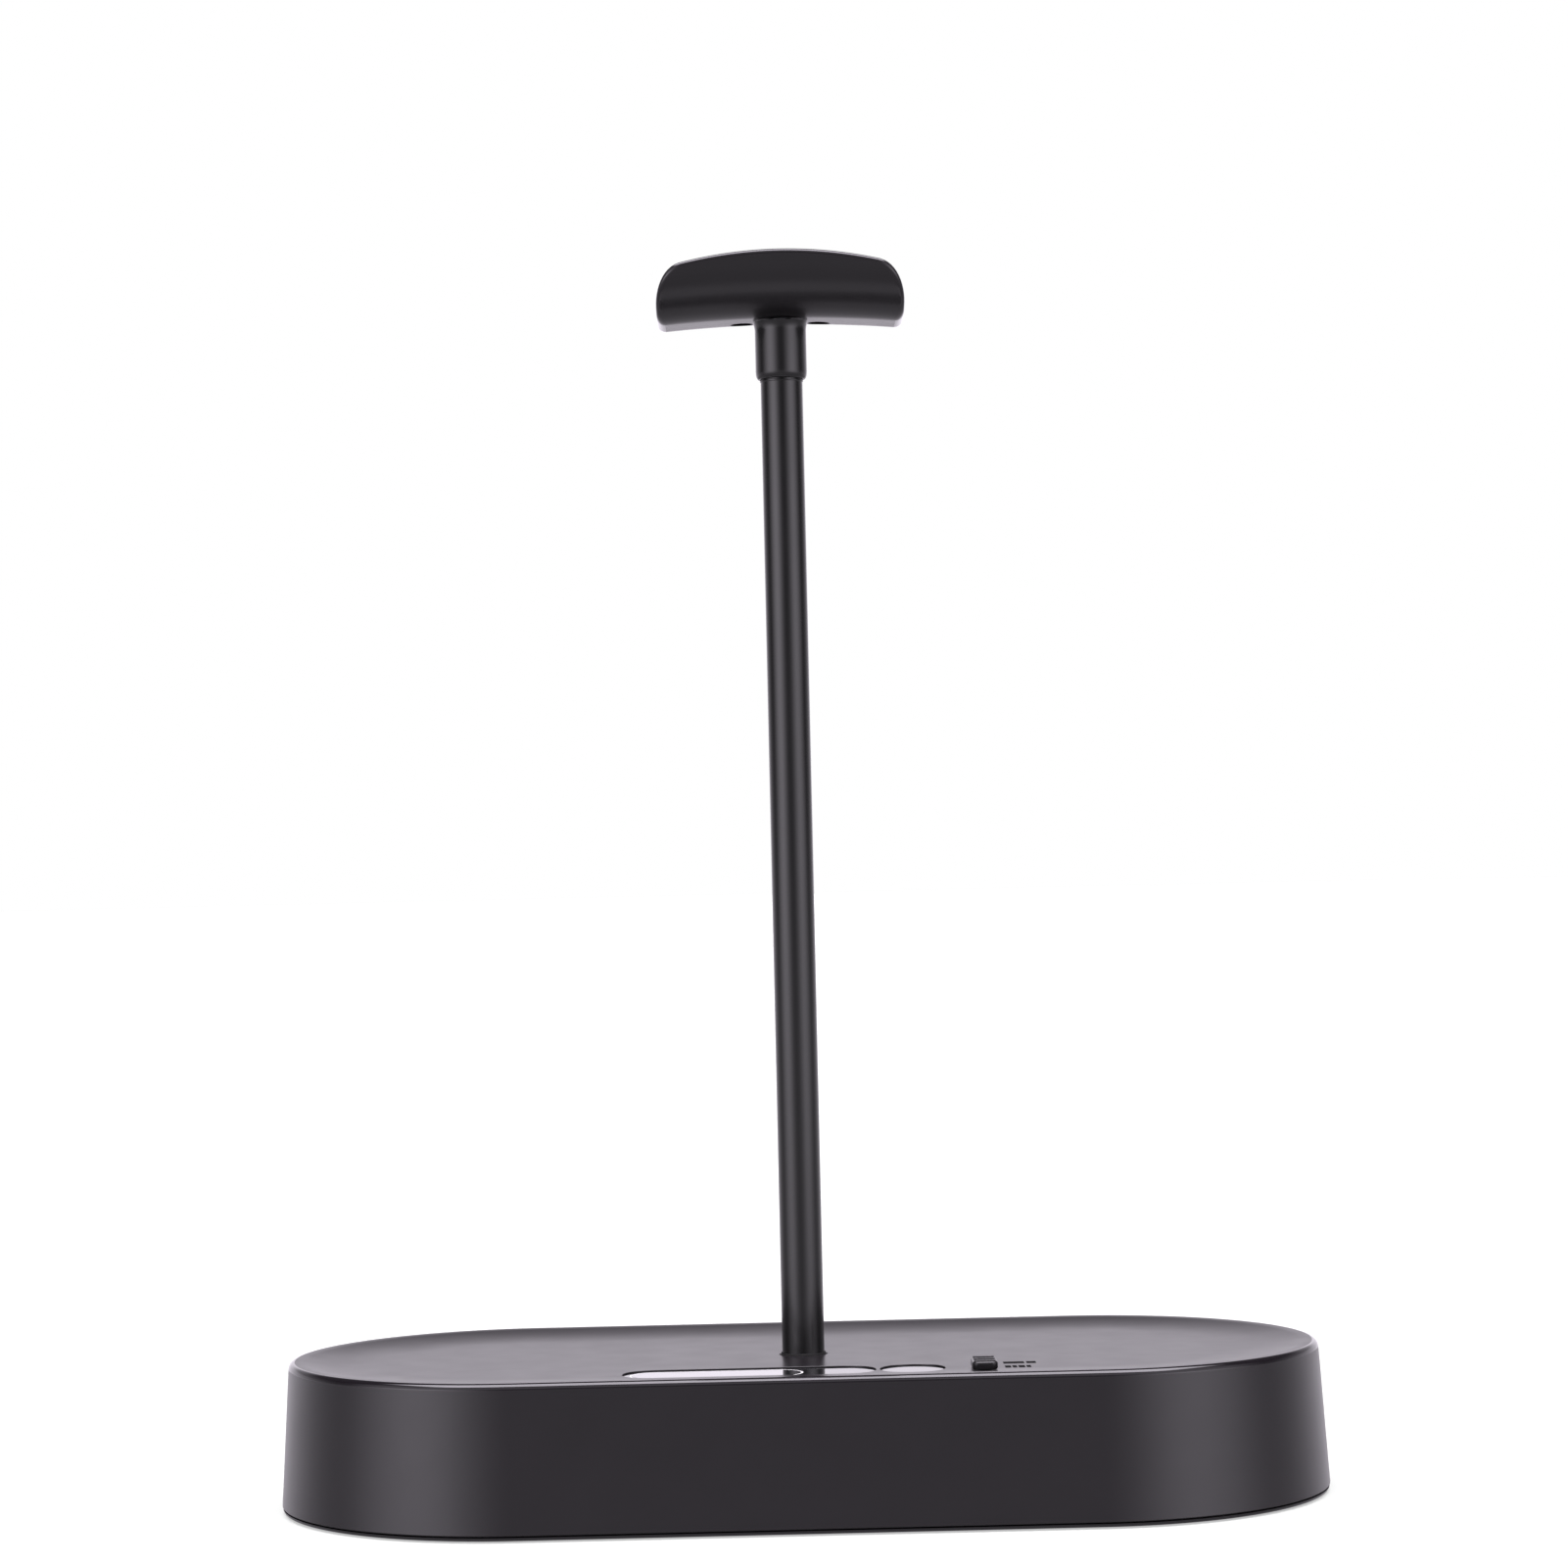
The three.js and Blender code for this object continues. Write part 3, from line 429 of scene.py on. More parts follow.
def housing_profile():
    """The base shell's section: from the tray over the rim, down the wall, and up inside to the deck."""
    rim_inner = wall_radius(BASE_TOP) - RIM_WIDTH
    flat = rim_inner - DISH_CURVE
    steps = 14
    shares = [i / steps for i in range(steps + 1)]
    dish = [(flat + DISH_CURVE * share, FLOOR + DISH_DEPTH * share**2) for share in shares]
    rim_z = BASE_TOP - RIM_ROUND
    rim_r = wall_radius(rim_z) - RIM_ROUND / math.cos(BASE_DRAFT)
    rim = arc(rim_r, rim_z, RIM_ROUND, 90, math.degrees(BASE_DRAFT), 12)
    lip = 0.2
    foot = [(wall_radius(PARTING_Z + lip), PARTING_Z + lip), (BASE_RADIUS - lip, PARTING_Z)]
    inside = [(BASE_RADIUS - WALL, PARTING_Z), (wall_radius(DECK_UNDER) - WALL, DECK_UNDER)]
    return dish + rim + foot + inside


def from_middle(point):
    """The level direction out from the base's long middle line to a point, in metres."""
    nearest = max(min(point.x, HALF_STRAIGHT * MM), -HALF_STRAIGHT * MM)
    return Vector((point.x - nearest, point.y, 0)).normalized()


def make_housing():
    """The base shell, with the openings for the strip, the button, the knob, the upright and the socket."""
    outline = pill(-HALF_STRAIGHT, HALF_STRAIGHT, 0, 72)
    recess = PANEL_HIGH.y + GAP - STRIP_Y
    panel_ends = (PANEL_LOW.x - GAP + recess, PANEL_HIGH.x + GAP - recess)
    below = DECK_UNDER - 1
    slot_y = KNOB_Y + KNOB_TRAVEL / 2
    slot_half_y = STEM_HALF_Y + KNOB_TRAVEL / 2 + 0.25
    socket_z = (SOCKET_LOW.z + SOCKET_HIGH.z) / 2
    socket_half = (SOCKET_HIGH.z - SOCKET_LOW.z) / 2
    socket_end = SOCKET_HIGH.x - socket_half
    mouth = [(0.35, -12), (0.35, -0.2), (1.35, 0.8)]
    mouth_outline = pill(-socket_end, socket_end)
    socket_cut = loft([(socket_half + grow, depth) for grow, depth in mouth], mouth_outline)
    strip = pill(*panel_ends, STRIP_Y)
    through = recess - PANEL_LEDGE
    slot = rounded_box(KNOB_X, slot_y, STEM_HALF_X + 0.25, slot_half_y, 0.3)
    cuts = [
        loft(flared(recess, PANEL_LOW.z - 0.25), strip),
        loft([(through, below), (through, PANEL_LOW.z + 0.5)], strip),
        loft(flared(BUTTON_HOLE, below), circle(BUTTON_X, STRIP_Y)),
        loft(flared(0, below, chamfer=0.08), slot),
        loft(flared(RING_HIGH.x + GAP, below), circle()),
        turned_on_side(socket_cut, (0, SOCKET_HIGH.y + 0.15, socket_z)),
    ]
    made = loft(housing_profile(), outline)
    housing = piece("housing", made, [HOUSING, EDGE], ["base_shell"], cuts=cuts)
    for face in housing.data.polygons:
        on_rim = face.center.z > (BASE_TOP - RIM_ROUND) * MM
        face.material_index = int(on_rim and face.normal.dot(from_middle(face.center)) > 0.04)


def screw_sink(x, y):
    """The countersink for a cover screw."""
    face = COVER_LOW.z
    profile = [(3.2, face - 1), (3.04, face + 0.25), (1.75, face + 1.75), (1.75, face + 6)]
    return loft(profile, circle(x, y, 48))


def make_cover():
    """The bottom cover: a rounded edge under the seam, and a spigot inside the wall."""
    edge = BASE_RADIUS - 0.15
    seam = PARTING_Z - 0.25
    round_radius = seam - COVER_LOW.z
    rounded = arc(edge - round_radius, seam, round_radius, -90, 0, 8)
    spigot = BASE_RADIUS - WALL - 0.35
    inner = spigot - 1.4
    inside = [(spigot, seam), (spigot, COVER_HIGH.z), (inner, COVER_HIGH.z), (inner, COVER_LOW.z + 2)]
    feet = [middle(f"foot_{corner}") for corner in CORNERS]
    screws = [middle(f"cover_screw_{corner}") for corner in CORNERS]
    well = [(7.2, COVER_LOW.z - 1), (6.2, COVER_LOW.z), (6.2, COVER_LOW.z + 1)]
    wells = [loft(well, circle(x, y)) for x, y in feet]
    sinks = [screw_sink(x, y) for x, y in screws]
    made = loft(rounded + inside, pill(-HALF_STRAIGHT, HALF_STRAIGHT, 0, 72))
    piece("cover", made, [TRIM], ["bottom_cover"], cuts=wells + sinks)


def make_foot(corner):
    """A moulded rubber foot: a soft round edge and a shallow ring in its face."""
    low, high = box_mm(f"foot_{corner}")
    radius = (high.x - low.x) / 2
    soft = 0.5
    ring = [(0.4, 0.25), (3.2, 0.25), (3.5, 0.0)]
    edge = arc(radius - soft, soft, soft, -90, 0, 6)
    made = loft(ring + edge + [(radius, high.z)], circle(*middle(f"foot_{corner}"), 64))
    piece(f"rubber_foot_{corner}", made, [FOOT_RUBBER], [f"foot_{corner}"])


def make_cover_screw(corner):
    """A countersunk screw with a hexagon socket."""
    node = f"cover_screw_{corner}"
    x, y = middle(node)
    low, high = box_mm(node)
    head = (high.x - low.x) / 2
    profile = [(head - 0.1, low.z), (head, low.z + 0.12), (1.5, low.z + 1.5)]
    profile += [(1.5, high.z - 0.4), (1.1, high.z)]
    key = head * 0.42
    socket = loft([(key + 0.1, low.z - 0.2), (key, low.z + 0.1), (key, low.z + 0.9)], circle(x, y, 6))
    made = loft(profile, circle(x, y, 48))
    piece(f"fixing_cover_{corner}", made, [BLACK_STEEL], [node], cuts=[socket])


# ---------------------------------------------------------------- upright
def make_tube():
    """The upright: a coated tube with a small shoulder just under the collar."""
    bead = COLLAR_LOW.z - 0.58
    outer = [
        (TUBE_RADIUS, TUBE_LOW.z),
        (TUBE_RADIUS, bead),
        (TUBE_RADIUS + 0.12, bead + 0.12),
        (TUBE_RADIUS + 0.12, bead + 0.3),
        (TUBE_RADIUS, bead + 0.42),
        (TUBE_RADIUS, TUBE_HIGH.z),
    ]
    inner = [(TUBE_BORE, TUBE_HIGH.z), (TUBE_BORE, TUBE_LOW.z)]
    made = loft(outer + inner, circle(0, 0, 128), True)
    piece("upright_tube", made, [TUBE], ["post_tube"])


def make_trim_ring():
    """The grommet that fills the gap between the tube and the tray, with a small bead round the tube."""
    inner = TUBE_RADIUS + 0.12
    outer = RING_HIGH.x
    bead = inner + 0.11
    soft = 0.05
    profile = [(inner, RING_LOW.z), (outer, RING_LOW.z), (outer, FLOOR - 0.05), (bead, FLOOR)]
    profile += arc(bead - soft, RING_HIGH.z - soft, soft, 0, 90, 4) + [(inner, RING_HIGH.z)]
    made = loft(profile, circle(), True)
    piece("grommet", made, [RING_RUBBER], ["post_trim_ring"])


def make_collar():
    """The collar: round at its lower edge, with a small flare under the saddle."""
    bore = TUBE_RADIUS + 0.15
    body = 4.95
    flare = COLLAR_HIGH.x
    bottom = COLLAR_LOW.z
    top = COLLAR_HIGH.z
    screw_hole = 2.2
    shoulder = TUBE_HIGH.z + 0.3
    lower = [
        (bore, bottom),
        (body - 0.5, bottom),
        (body - 0.44, bottom + 0.03),
        (body - 0.24, bottom + 0.26),
        (body - 0.12, bottom + 0.56),
        (body - 0.04, bottom + 0.95),
        (body, bottom + 1.5),
    ]
    rise = 1.7
    growth = flare - 0.04 - body
    shares = [i / 8 for i in range(9)]
    upper = [(body + growth * share**2, top - rise * (1 - share) - 0.05) for share in shares]
    inside = [(flare - 0.1, top), (screw_hole, top), (screw_hole, shoulder), (bore, shoulder)]
    profile = lower + upper + inside
    made = loft(profile, circle(0, 0, 128), True)
    piece("neck_collar", made, [TUBE], ["collar"], sharp=35)


# ---------------------------------------------------------------- saddle
def trough_point(along, depth):
    """(y, z) at a distance along the trough's section from its middle, at a depth inside the outer face."""
    radius = SADDLE_RADIUS - depth
    bend = QUARTER - SADDLE_LEAN
    side = math.copysign(1, along)
    run = abs(along)
    if run <= SADDLE_FLAT:
        return along, SADDLE_BOTTOM + depth
    angle = min((run - SADDLE_FLAT) / radius, bend)
    rest = max(run - SADDLE_FLAT - radius * bend, 0)
    y = SADDLE_FLAT + radius * math.sin(angle) + rest * math.sin(SADDLE_LEAN)
    z = SADDLE_BOTTOM + SADDLE_RADIUS - radius * math.cos(angle) + rest * math.cos(SADDLE_LEAN)
    return side * y, z


def trough_reach(z, depth):
    """The distance along the section at which that surface gets to height z."""
    radius = SADDLE_RADIUS - depth
    bend = QUARTER - SADDLE_LEAN
    centre = SADDLE_BOTTOM + SADDLE_RADIUS
    top_of_bend = centre - radius * math.cos(bend)
    if z >= top_of_bend:
        return SADDLE_FLAT + radius * bend + (z - top_of_bend) / math.cos(SADDLE_LEAN)
    return SADDLE_FLAT + radius * math.acos(min((centre - z) / radius, 1))


def saddle_edge(inset, arc_steps=28, corner_steps=12):
    """The saddle's upper edge seen from the front, left to right: an arch between two wide corners."""
    half = SADDLE_HALF_LENGTH - inset
    top = LIP_TOP - inset
    end_z = SADDLE_BOTTOM - half * half / (2 * SADDLE_ARCH_RADIUS) + 2.75
    shoulder = half - 4.6
    shoulder_z = top - shoulder * shoulder / (2 * LIP_ARC_RADIUS)
    start = (shoulder, shoulder_z)
    handles = [start, (half - 1.4, shoulder_z - 0.9), (half, shoulder_z - 5), (half, end_z)]
    corner = []
    for i in range(1, corner_steps + 1):
        t = i / corner_steps
        weights = [(1 - t) ** 3, 3 * t * (1 - t) ** 2, 3 * t * t * (1 - t), t**3]
        corner.append([sum(w * h[axis] for w, h in zip(weights, handles)) for axis in (0, 1)])
    across = [shoulder * (2 * i / arc_steps - 1) for i in range(arc_steps + 1)]
    arch = [(x, top - x * x / (2 * LIP_ARC_RADIUS)) for x in across]
    left = [(-x, z) for x, z in reversed(corner)]
    return left + arch + [tuple(point) for point in corner]


def trough_sheet(depth, thickness, inset, rim):
    """A curved sheet of the saddle. Its whole edge is rounded to the rim radius, in the second material."""
    rows = 60
    levels = [2 * i / rows - 1 for i in range(rows + 1)]
    edges = {}

    def point(column, level, extra, at_depth):
        if extra not in edges:
            edges[extra] = saddle_edge(inset + extra)
        x, lip = edges[extra][column]
        half = SADDLE_HALF_LENGTH - inset - extra
        drop = x * x / (2 * SADDLE_ARCH_RADIUS)
        y, z = trough_point(level * trough_reach(lip + drop, at_depth), at_depth)
        low = min(max((z - SADDLE_BOTTOM) / 1.6, 0), 1)
        x *= 1 - 0.6 / half * (1 - low) ** 2
        return x, y, z - drop

    made = bmesh.new()
    columns = range(len(saddle_edge(inset)))
    last = len(columns) - 1
    border = [(k, -1.0) for k in columns[:-1]]
    border += [(last, level) for level in levels[:-1]]
    border += [(k, 1.0) for k in reversed(columns[1:])]
    border += [(0, level) for level in reversed(levels[1:])]

    grids = []
    for at_depth in (depth, depth + thickness):
        grid = {
            (k, level): made.verts.new(point(k, level, rim, at_depth))
            for k in columns
            for level in levels
        }
        for k in columns[:-1]:
            for low, high in zip(levels, levels[1:]):
                made.faces.new((grid[k, low], grid[k + 1, low], grid[k + 1, high], grid[k, high]))
        grids.append([grid[spot] for spot in border])

    steps = 6
    turns = [QUARTER * i / steps for i in range(1, steps + 1)]
    outer = [(rim * (1 - math.sin(a)), depth + rim * (1 - math.cos(a))) for a in turns]
    inner = [(extra, 2 * depth + thickness - at_depth) for extra, at_depth in reversed(outer)]
    if thickness <= 2 * rim:
        inner = inner[1:]
    loops = [grids[0]]
    for extra, at_depth in outer + inner:
        loops.append([made.verts.new(point(*spot, extra, at_depth)) for spot in border])
    loops.append(grids[1])
    for first, second in zip(loops, loops[1:]):
        for i in range(len(first)):
            face = made.faces.new((first[i - 1], first[i], second[i], second[i - 1]))
            face.material_index = 1
    bmesh.ops.recalc_face_normals(made, faces=made.faces)
    return made


def make_saddle():
    """The saddle's shell, with the counterbored holes of the two liner screws under it."""
    seat = SADDLE_BOTTOM + 1.3
    above = SADDLE_BOTTOM + SADDLE_SHEET + 1
    below = SADDLE_BOTTOM - 1.2
    cuts = [loft([(2.2, below), (2.2, above)], circle(0, 0, 48))]
    for side in ("left", "right"):
        at = circle(*middle(f"liner_screw_{side}"), 64)
        face = SADDLE_BOTTOM - 0.11
        cuts.append(loft([(3.05, face - 0.85), (2.05, face + 0.15), (2.05, seat)], at))
        cuts.append(loft([(1.2, below), (1.2, above)], at))
    made = trough_sheet(0, SADDLE_SHEET, 0, 1.0)
    materials = [SADDLE, EDGE]
    piece("saddle", made, materials, ["saddle_shell"], cuts=cuts, sharp=40)


def make_liner():
    """The soft liner that the headband rests on."""
    made = trough_sheet(SADDLE_SHEET + LINER_GAP, LINER_THICKNESS, LINER_INSET, 0.6)
    liner = piece("headband_liner", made, [LINER, LINER], ["saddle_liner"], sharp=60)


def make_liner_screw(side):
    """A pan-head screw up through the saddle's floor."""
    node = f"liner_screw_{side}"
    low, high = box_mm(node)
    at = circle(*middle(node), 48)
    head = (high.x - low.x) / 2
    seat = low.z + 0.55
    profile = [(head - 0.35, low.z), (head - 0.1, low.z + 0.12), (head, low.z + 0.35)]
    profile += [(head, seat), (1, seat), (1, high.z)]
    socket = loft([(0.85, low.z - 0.3), (0.8, low.z + 0.45)], circle(*middle(node), 6))
    piece(f"fixing_liner_{side}", loft(profile, at), [BLACK_STEEL], [node], cuts=[socket])


# ---------------------------------------------------------------- control strip
def pill_between(low, high):
    """The outline maker and radius of a pill that fills a box in plan."""
    radius = (high.y - low.y) / 2
    return pill(low.x + radius, high.x - radius, (low.y + high.y) / 2), radius


def make_panel():
    """The gloss surround of the display, with a chamfered window."""
    outline, radius = pill_between(PANEL_LOW, PANEL_HIGH)
    chamfer = 0.12
    top = PANEL_HIGH.z
    made = loft([(radius, PANEL_LOW.z), (radius, top - chamfer), (radius - chamfer, top)], outline)
    window, window_radius = pill_between(LENS_LOW, LENS_HIGH)
    opening = loft(flared(window_radius + GAP, PANEL_LOW.z - 1, top, 0.1), window)
    piece("display_surround", made, [GLOSS], ["indicator_panel"], cuts=[opening])


def make_lens():
    """The smoked window, and the thin pale light guide that shows as a line round it."""
    outline, radius = pill_between(LENS_LOW, LENS_HIGH)
    chamfer = 0.1
    guide = 0.34
    top = LENS_HIGH.z
    lens_radius = radius - guide + GAP
    profile = [(lens_radius, LENS_LOW.z), (lens_radius, top - chamfer), (lens_radius - chamfer, top)]
    piece("display_window", loft(profile, outline), [WINDOW], ["display_lens"])
    inner = lens_radius + 0.03
    outer = radius + GAP - 0.03
    ring = [(inner, LENS_LOW.z), (outer, LENS_LOW.z), (outer, top - 0.02), (inner, top - 0.02)]
    piece("window_light_guide", loft(ring, outline, True), [LIGHT_GUIDE])


def make_button():
    """The round button: a flange under the deck, and a soft edge round its face."""
    flange_top = DECK_UNDER - 0.25
    top = CAP_HIGH.z
    soft = 0.3
    edge = arc(BUTTON_RADIUS - soft, top - soft, soft, 0, 90, 6)
    flange = [(6.9, flange_top - 0.8), (6.9, flange_top), (BUTTON_RADIUS, flange_top)]
    made = loft(flange + edge, circle(BUTTON_X, STRIP_Y))
    piece("round_button", made, [GLOSS], ["button_cap"], "button", sharp=40)


def make_knob():
    """The slide switch's knob: a round-edged block with three ribs across its top, and its stem."""
    half_x = (KNOB_HIGH.x - KNOB_LOW.x) / 2
    half_y = (KNOB_HIGH.y - KNOB_LOW.y) / 2
    top = KNOB_HIGH.z
    crown = top - 0.25
    soft = 0.4
    edge = [(size, z) for size, z in arc(-soft, crown - soft, soft, 0, 90, 6)]
    outline = rounded_box(KNOB_X, KNOB_Y, half_x, half_y, 1.2)
    made = loft([(-0.15, KNOB_BASE), (0, KNOB_BASE + 0.2)] + edge, outline)
    rib_pitch = 3.1
    rib_profile = [(0, crown - 0.5)] + arc(-0.18, top - 0.18, 0.18, 0, 90, 4)
    rib_places = [KNOB_Y + i * rib_pitch for i in (-1, 0, 1)]
    ribs = [loft(rib_profile, rounded_box(KNOB_X, y, 1.95, 0.32, 0.28, 4)) for y in rib_places]
    stem_outline = rounded_box(KNOB_X, KNOB_Y, STEM_HALF_X, STEM_HALF_Y, 0.2)
    stem = loft([(0, KNOB_LOW.z), (0, KNOB_BASE + 0.3)], stem_outline)
    lever_hole = rounded_box(KNOB_X, KNOB_Y, 0.75, 0.75, 0.1)
    cuts = [loft([(0, KNOB_LOW.z - 1), (0, KNOB_LOW.z + 1.6)], lever_hole)]
    joins = [*ribs, stem]
    piece("slider_knob", made, [TRIM], ["switch_knob"], "slider", cuts, joins, 40)


def make_legend():
    """Two rows of plain printed bars beside the switch, in place of lettering."""
    long_row = [(37.0, 40.9), (41.3, 43.1)]
    short_row = [(37.0, 38.1), (38.4, 39.2), (39.5, 40.7), (41.0, 41.8)]
    rows = [(long_row, -21.0, 1.35), (short_row, -26.8, 1.5)]
    print_height = 0.02
    count = 0
    for bars, y, half_y in rows:
        for x0, x1 in bars:
            count += 1
            at = rounded_box((x0 + x1) / 2, y, (x1 - x0) / 2, half_y, 0.15, 4)
            made = loft([(0, FLOOR - 0.05), (0, FLOOR + print_height)], at)
            piece(f"legend_bar_{count}", made, [PRINT])


# ---------------------------------------------------------------- USB inlet
def make_socket():
    """The drawn steel shell of the USB-C inlet and the tongue inside it."""
    z = (SOCKET_LOW.z + SOCKET_HIGH.z) / 2
    half = (SOCKET_HIGH.z - SOCKET_LOW.z) / 2
    end = SOCKET_HIGH.x - half
    depth = SOCKET_HIGH.y - SOCKET_LOW.y
    lip = 0.08
    shell = loft([(half, -depth), (half, -lip), (half - lip, 0)], pill(-end, end, 0, 32))
    bore = loft([(half - 0.3, -depth + 0.6), (half - 0.3, -0.1), (half - 0.1, 0.1)], pill(-end, end, 0, 32))
    place = (0, SOCKET_HIGH.y, z)
    cuts = [turned_on_side(bore, place)]
    made = turned_on_side(shell, place)
    piece("inlet_shell", made, [SOCKET_STEEL], ["usb_socket_shell"], cuts=cuts)
    tongue_half = (TONGUE_HIGH.z - TONGUE_LOW.z) / 2
    length = TONGUE_HIGH.y - TONGUE_LOW.y
    at = rounded_box(0, 0, TONGUE_HIGH.x, tongue_half, 0.12, 4)
    tongue = loft([(0, -length), (0, -0.15), (-0.12, 0)], at)
    turned_on_side(tongue, (0, TONGUE_HIGH.y, z))
    piece("inlet_tongue", tongue, [CHIP], ["usb_socket_tongue"])


# ---------------------------------------------------------------- carried-over CAD nodes
def finish_hidden_nodes():
    """Gives every CAD node that stays its material, by the start of its name."""
    finishes = {
        "ballast_plate": STEEL,
        "ballast_screw": ZINC,
        "board_lead": LEAD,
        "board_screw": ZINC,
        "control_board": BOARD,
        "controller_chip": CHIP,
        "lead_plug": WHITE_NYLON,
        "light_diffuser": DIFFUSER,
        "post_bolt": ZINC,
        "post_lower_plug": BRASS,
        "post_upper_plug": BRASS,
        "power_board_screw": ZINC,
        "power_board": BOARD,
        "saddle_bolt": ZINC,
        "slide_switch_body": SOCKET_STEEL,
        "slide_switch_lever": CHIP,
        "standoff": BRASS,
        "status_led": LAMP,
        "tact_switch_body": CHIP,
        "tact_switch_plunger": WHITE_NYLON,
    }
    for name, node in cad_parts.items():
        starts = [start for start in finishes if name.startswith(start)]
        if starts and not node.hide_render:
            node.data.materials.clear()
            node.data.materials.append(finishes[max(starts, key=len)])


# ---------------------------------------------------------------- studio
STUDIO_TINT = (1.0, 0.945, 1.04, 1)
FLOOR_REACH = 30
FLOOR_LIFT = 0.5
FLOOR_MIRRORED = 0.4


def make_floor():
    """A plain pale floor, far wider than the view.

    The camera sees it pale and even. The stand's reflections see the same plain floor, smoother and dimmer.
    """
    made = bmesh.new()
    bmesh.ops.create_circle(made, cap_ends=True, radius=FLOOR_REACH, segments=96)
    floor = as_object("floor", made)
    material, seen = principled("floor_pale", (0.3, 0.318, 0.289), 0.9)
    seen.inputs["Specular IOR Level"].default_value = 0.0
    seen.inputs["Emission Color"].default_value = (1, 1, 1, 1)
    seen.inputs["Emission Strength"].default_value = FLOOR_LIFT
    tree = material.node_tree
    mirrored = tree.nodes.new("ShaderNodeBsdfPrincipled")
    mirrored.inputs["Base Color"].default_value = (0.03, 0.03, 0.03, 1)
    mirrored.inputs["Roughness"].default_value = 0.12
    mirrored.inputs["Emission Color"].default_value = STUDIO_TINT
    mirrored.inputs["Emission Strength"].default_value = FLOOR_MIRRORED
    output = tree.nodes["Material Output"]
    by_camera(tree, mirrored.outputs[0], seen.outputs[0], output)
    floor.data.materials.append(material)


def by_camera(tree, mirrored, seen, output):
    """One shader for what the camera sees directly, and another for light and reflections."""
    mix = tree.nodes.new("ShaderNodeMixShader")
    tree.links.new(tree.nodes.new("ShaderNodeLightPath").outputs["Is Camera Ray"], mix.inputs[0])
    tree.links.new(mirrored, mix.inputs[1])
    tree.links.new(seen, mix.inputs[2])
    tree.links.new(mix.outputs[0], output.inputs["Surface"])


def make_camera():
    """The camera, low in front of the stand and a little below the middle of the upright."""
    pitch = math.radians(1.4058)
    yaw = math.radians(-0.3819)
    roll = math.radians(-1.2939)
    data = bpy.data.cameras.new("camera")
    data.sensor_fit = "HORIZONTAL"
    data.sensor_width = 36
    data.lens = 89.67
    data.clip_start = 0.01
    data.clip_end = 100
    camera = bpy.data.objects.new("camera", data)
    bpy.context.scene.collection.objects.link(camera)
    upright = Matrix.Rotation(yaw, 4, "Z") @ Matrix.Rotation(QUARTER + pitch, 4, "X")
    place = Matrix.Translation(Vector((-6.279, -751.369, 118.050)) * MM)
    camera.matrix_world = place @ upright @ Matrix.Rotation(roll, 4, "Z")
    bpy.context.scene.camera = camera


def math_node(tree, operation, first, second=None):
    """A Math node's result. Each input is a number or another node's output."""
    node = tree.nodes.new("ShaderNodeMath")
    node.operation = operation
    for socket, value in zip(node.inputs, (first, second)):
        if isinstance(value, (int, float)):
            socket.default_value = value
        elif value is not None:
            tree.links.new(value, socket)
    return node.outputs[0]


def curve_of(tree, angle, reach, stops, top=1.0):
    """A smooth curve through (degrees, value) stops, over an angle from -reach to reach degrees."""
    turned = math_node(tree, "ADD", angle, math.radians(reach))
    share = math_node(tree, "DIVIDE", turned, 2 * math.radians(reach))
    ramp = tree.nodes.new("ShaderNodeValToRGB")
    ramp.color_ramp.interpolation = "B_SPLINE" if len(stops) > 6 else "EASE"
    elements = ramp.color_ramp.elements
    while len(elements) < len(stops):
        elements.new(0.5)
    for element, (place, value) in zip(elements, stops):
        element.position = (place + reach) / (2 * reach)
        element.color = (value / top, value / top, value / top, 1)
    tree.links.new(share, ramp.inputs["Fac"])
    return math_node(tree, "MULTIPLY", ramp.outputs["Color"], top)


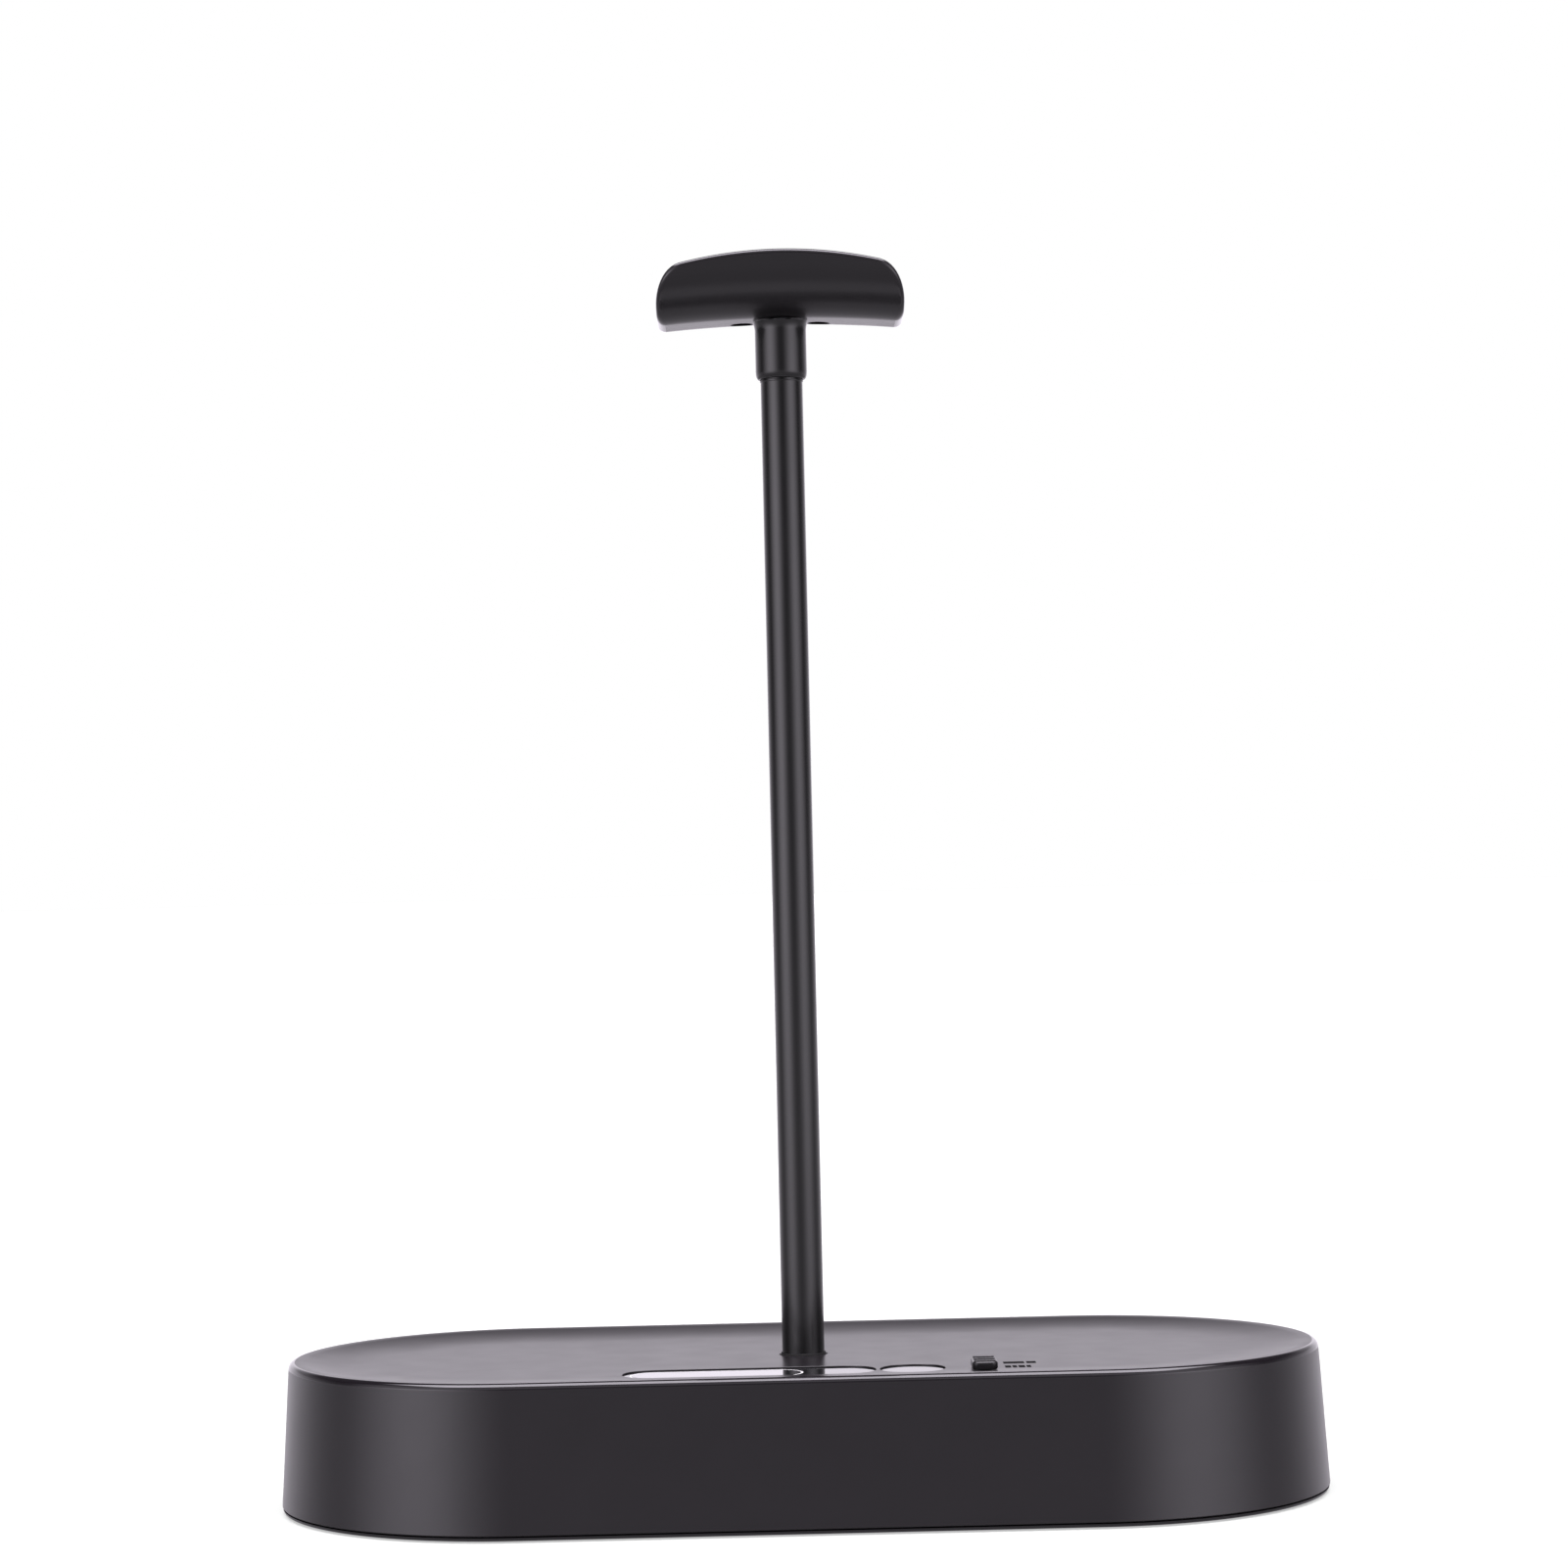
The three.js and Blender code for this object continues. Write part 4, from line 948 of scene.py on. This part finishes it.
def make_studio():
    """Soft boxes at both sides, a pale wall behind, a dim fill in front, and a narrow box overhead."""
    world = bpy.data.worlds.new("studio")
    bpy.context.scene.world = world
    world.use_nodes = True
    tree = world.node_tree
    tree.nodes.clear()
    direction = tree.nodes.new("ShaderNodeTexCoord").outputs["Generated"]
    split = tree.nodes.new("ShaderNodeSeparateXYZ")
    tree.links.new(direction, split.inputs[0])
    x, y, z = split.outputs
    front = math_node(tree, "MULTIPLY", y, -1)
    azimuth = math_node(tree, "ARCTAN2", x, front)
    height = math_node(tree, "ARCSINE", z)
    around = [
        (-180, 1.4),
        (-155, 1.25),
        (-130, 0.75),
        (-112, 0.4),
        (-94, 0.02),
        (-80, 0.9),
        (-64, 2.7),
        (-48, 3.7),
        (-34, 2.6),
        (-20, 0.9),
        (-8, 0.2),
        (8, 0.2),
        (20, 0.8),
        (34, 2.2),
        (48, 3.1),
        (64, 2.3),
        (80, 0.8),
        (94, 0.02),
        (112, 0.4),
        (130, 0.75),
        (155, 1.25),
        (180, 1.4),
    ]
    walls = curve_of(tree, azimuth, 180, around, 4.0)
    band = curve_of(tree, height, 90, [(-20, 1.0), (8, 1.0), (18, 0.42), (30, 0.05), (89, 0.05)])
    fill_height = curve_of(tree, height, 90, [(14, 0.0), (27, 0.9), (40, 0.9), (56, 0.0)])
    fill_around = curve_of(tree, azimuth, 180, [(-105, 0.0), (-70, 1.0), (70, 1.0), (105, 0.0)])
    fill = math_node(tree, "MULTIPLY", fill_height, fill_around)
    over_y = math_node(tree, "ARCTAN2", front, z)
    over_x = math_node(tree, "ARCTAN2", x, z)
    narrow = curve_of(tree, over_y, 180, [(-22, 0.0), (-14, 1.0), (25, 1.0), (33, 0.0)])
    wide = curve_of(tree, over_x, 180, [(-38, 0.0), (-24, 1.0), (24, 1.0), (38, 0.0)])
    overhead = math_node(tree, "MULTIPLY", math_node(tree, "MULTIPLY", narrow, wide), 9.0)
    sides = math_node(tree, "ADD", math_node(tree, "MULTIPLY", walls, band), fill)
    light = math_node(tree, "ADD", sides, overhead)

    studio = tree.nodes.new("ShaderNodeBackground")
    studio.inputs["Color"].default_value = STUDIO_TINT
    tree.links.new(light, studio.inputs["Strength"])
    backdrop = tree.nodes.new("ShaderNodeBackground")
    backdrop.inputs["Color"].default_value = (1, 1, 1, 1)
    backdrop.inputs["Strength"].default_value = 1.0
    output = tree.nodes.new("ShaderNodeOutputWorld")
    by_camera(tree, studio.outputs[0], backdrop.outputs[0], output)
    bpy.context.scene.view_settings.view_transform = "Standard"


make_camera()
make_studio()
make_floor()
make_housing()
make_cover()
for corner in CORNERS:
    make_foot(corner)
    make_cover_screw(corner)
make_tube()
make_trim_ring()
make_collar()
make_saddle()
make_liner()
for side in ("left", "right"):
    make_liner_screw(side)
make_panel()
make_lens()
make_button()
make_knob()
make_legend()
make_socket()
finish_hidden_nodes()

bpy.context.view_layer.update()
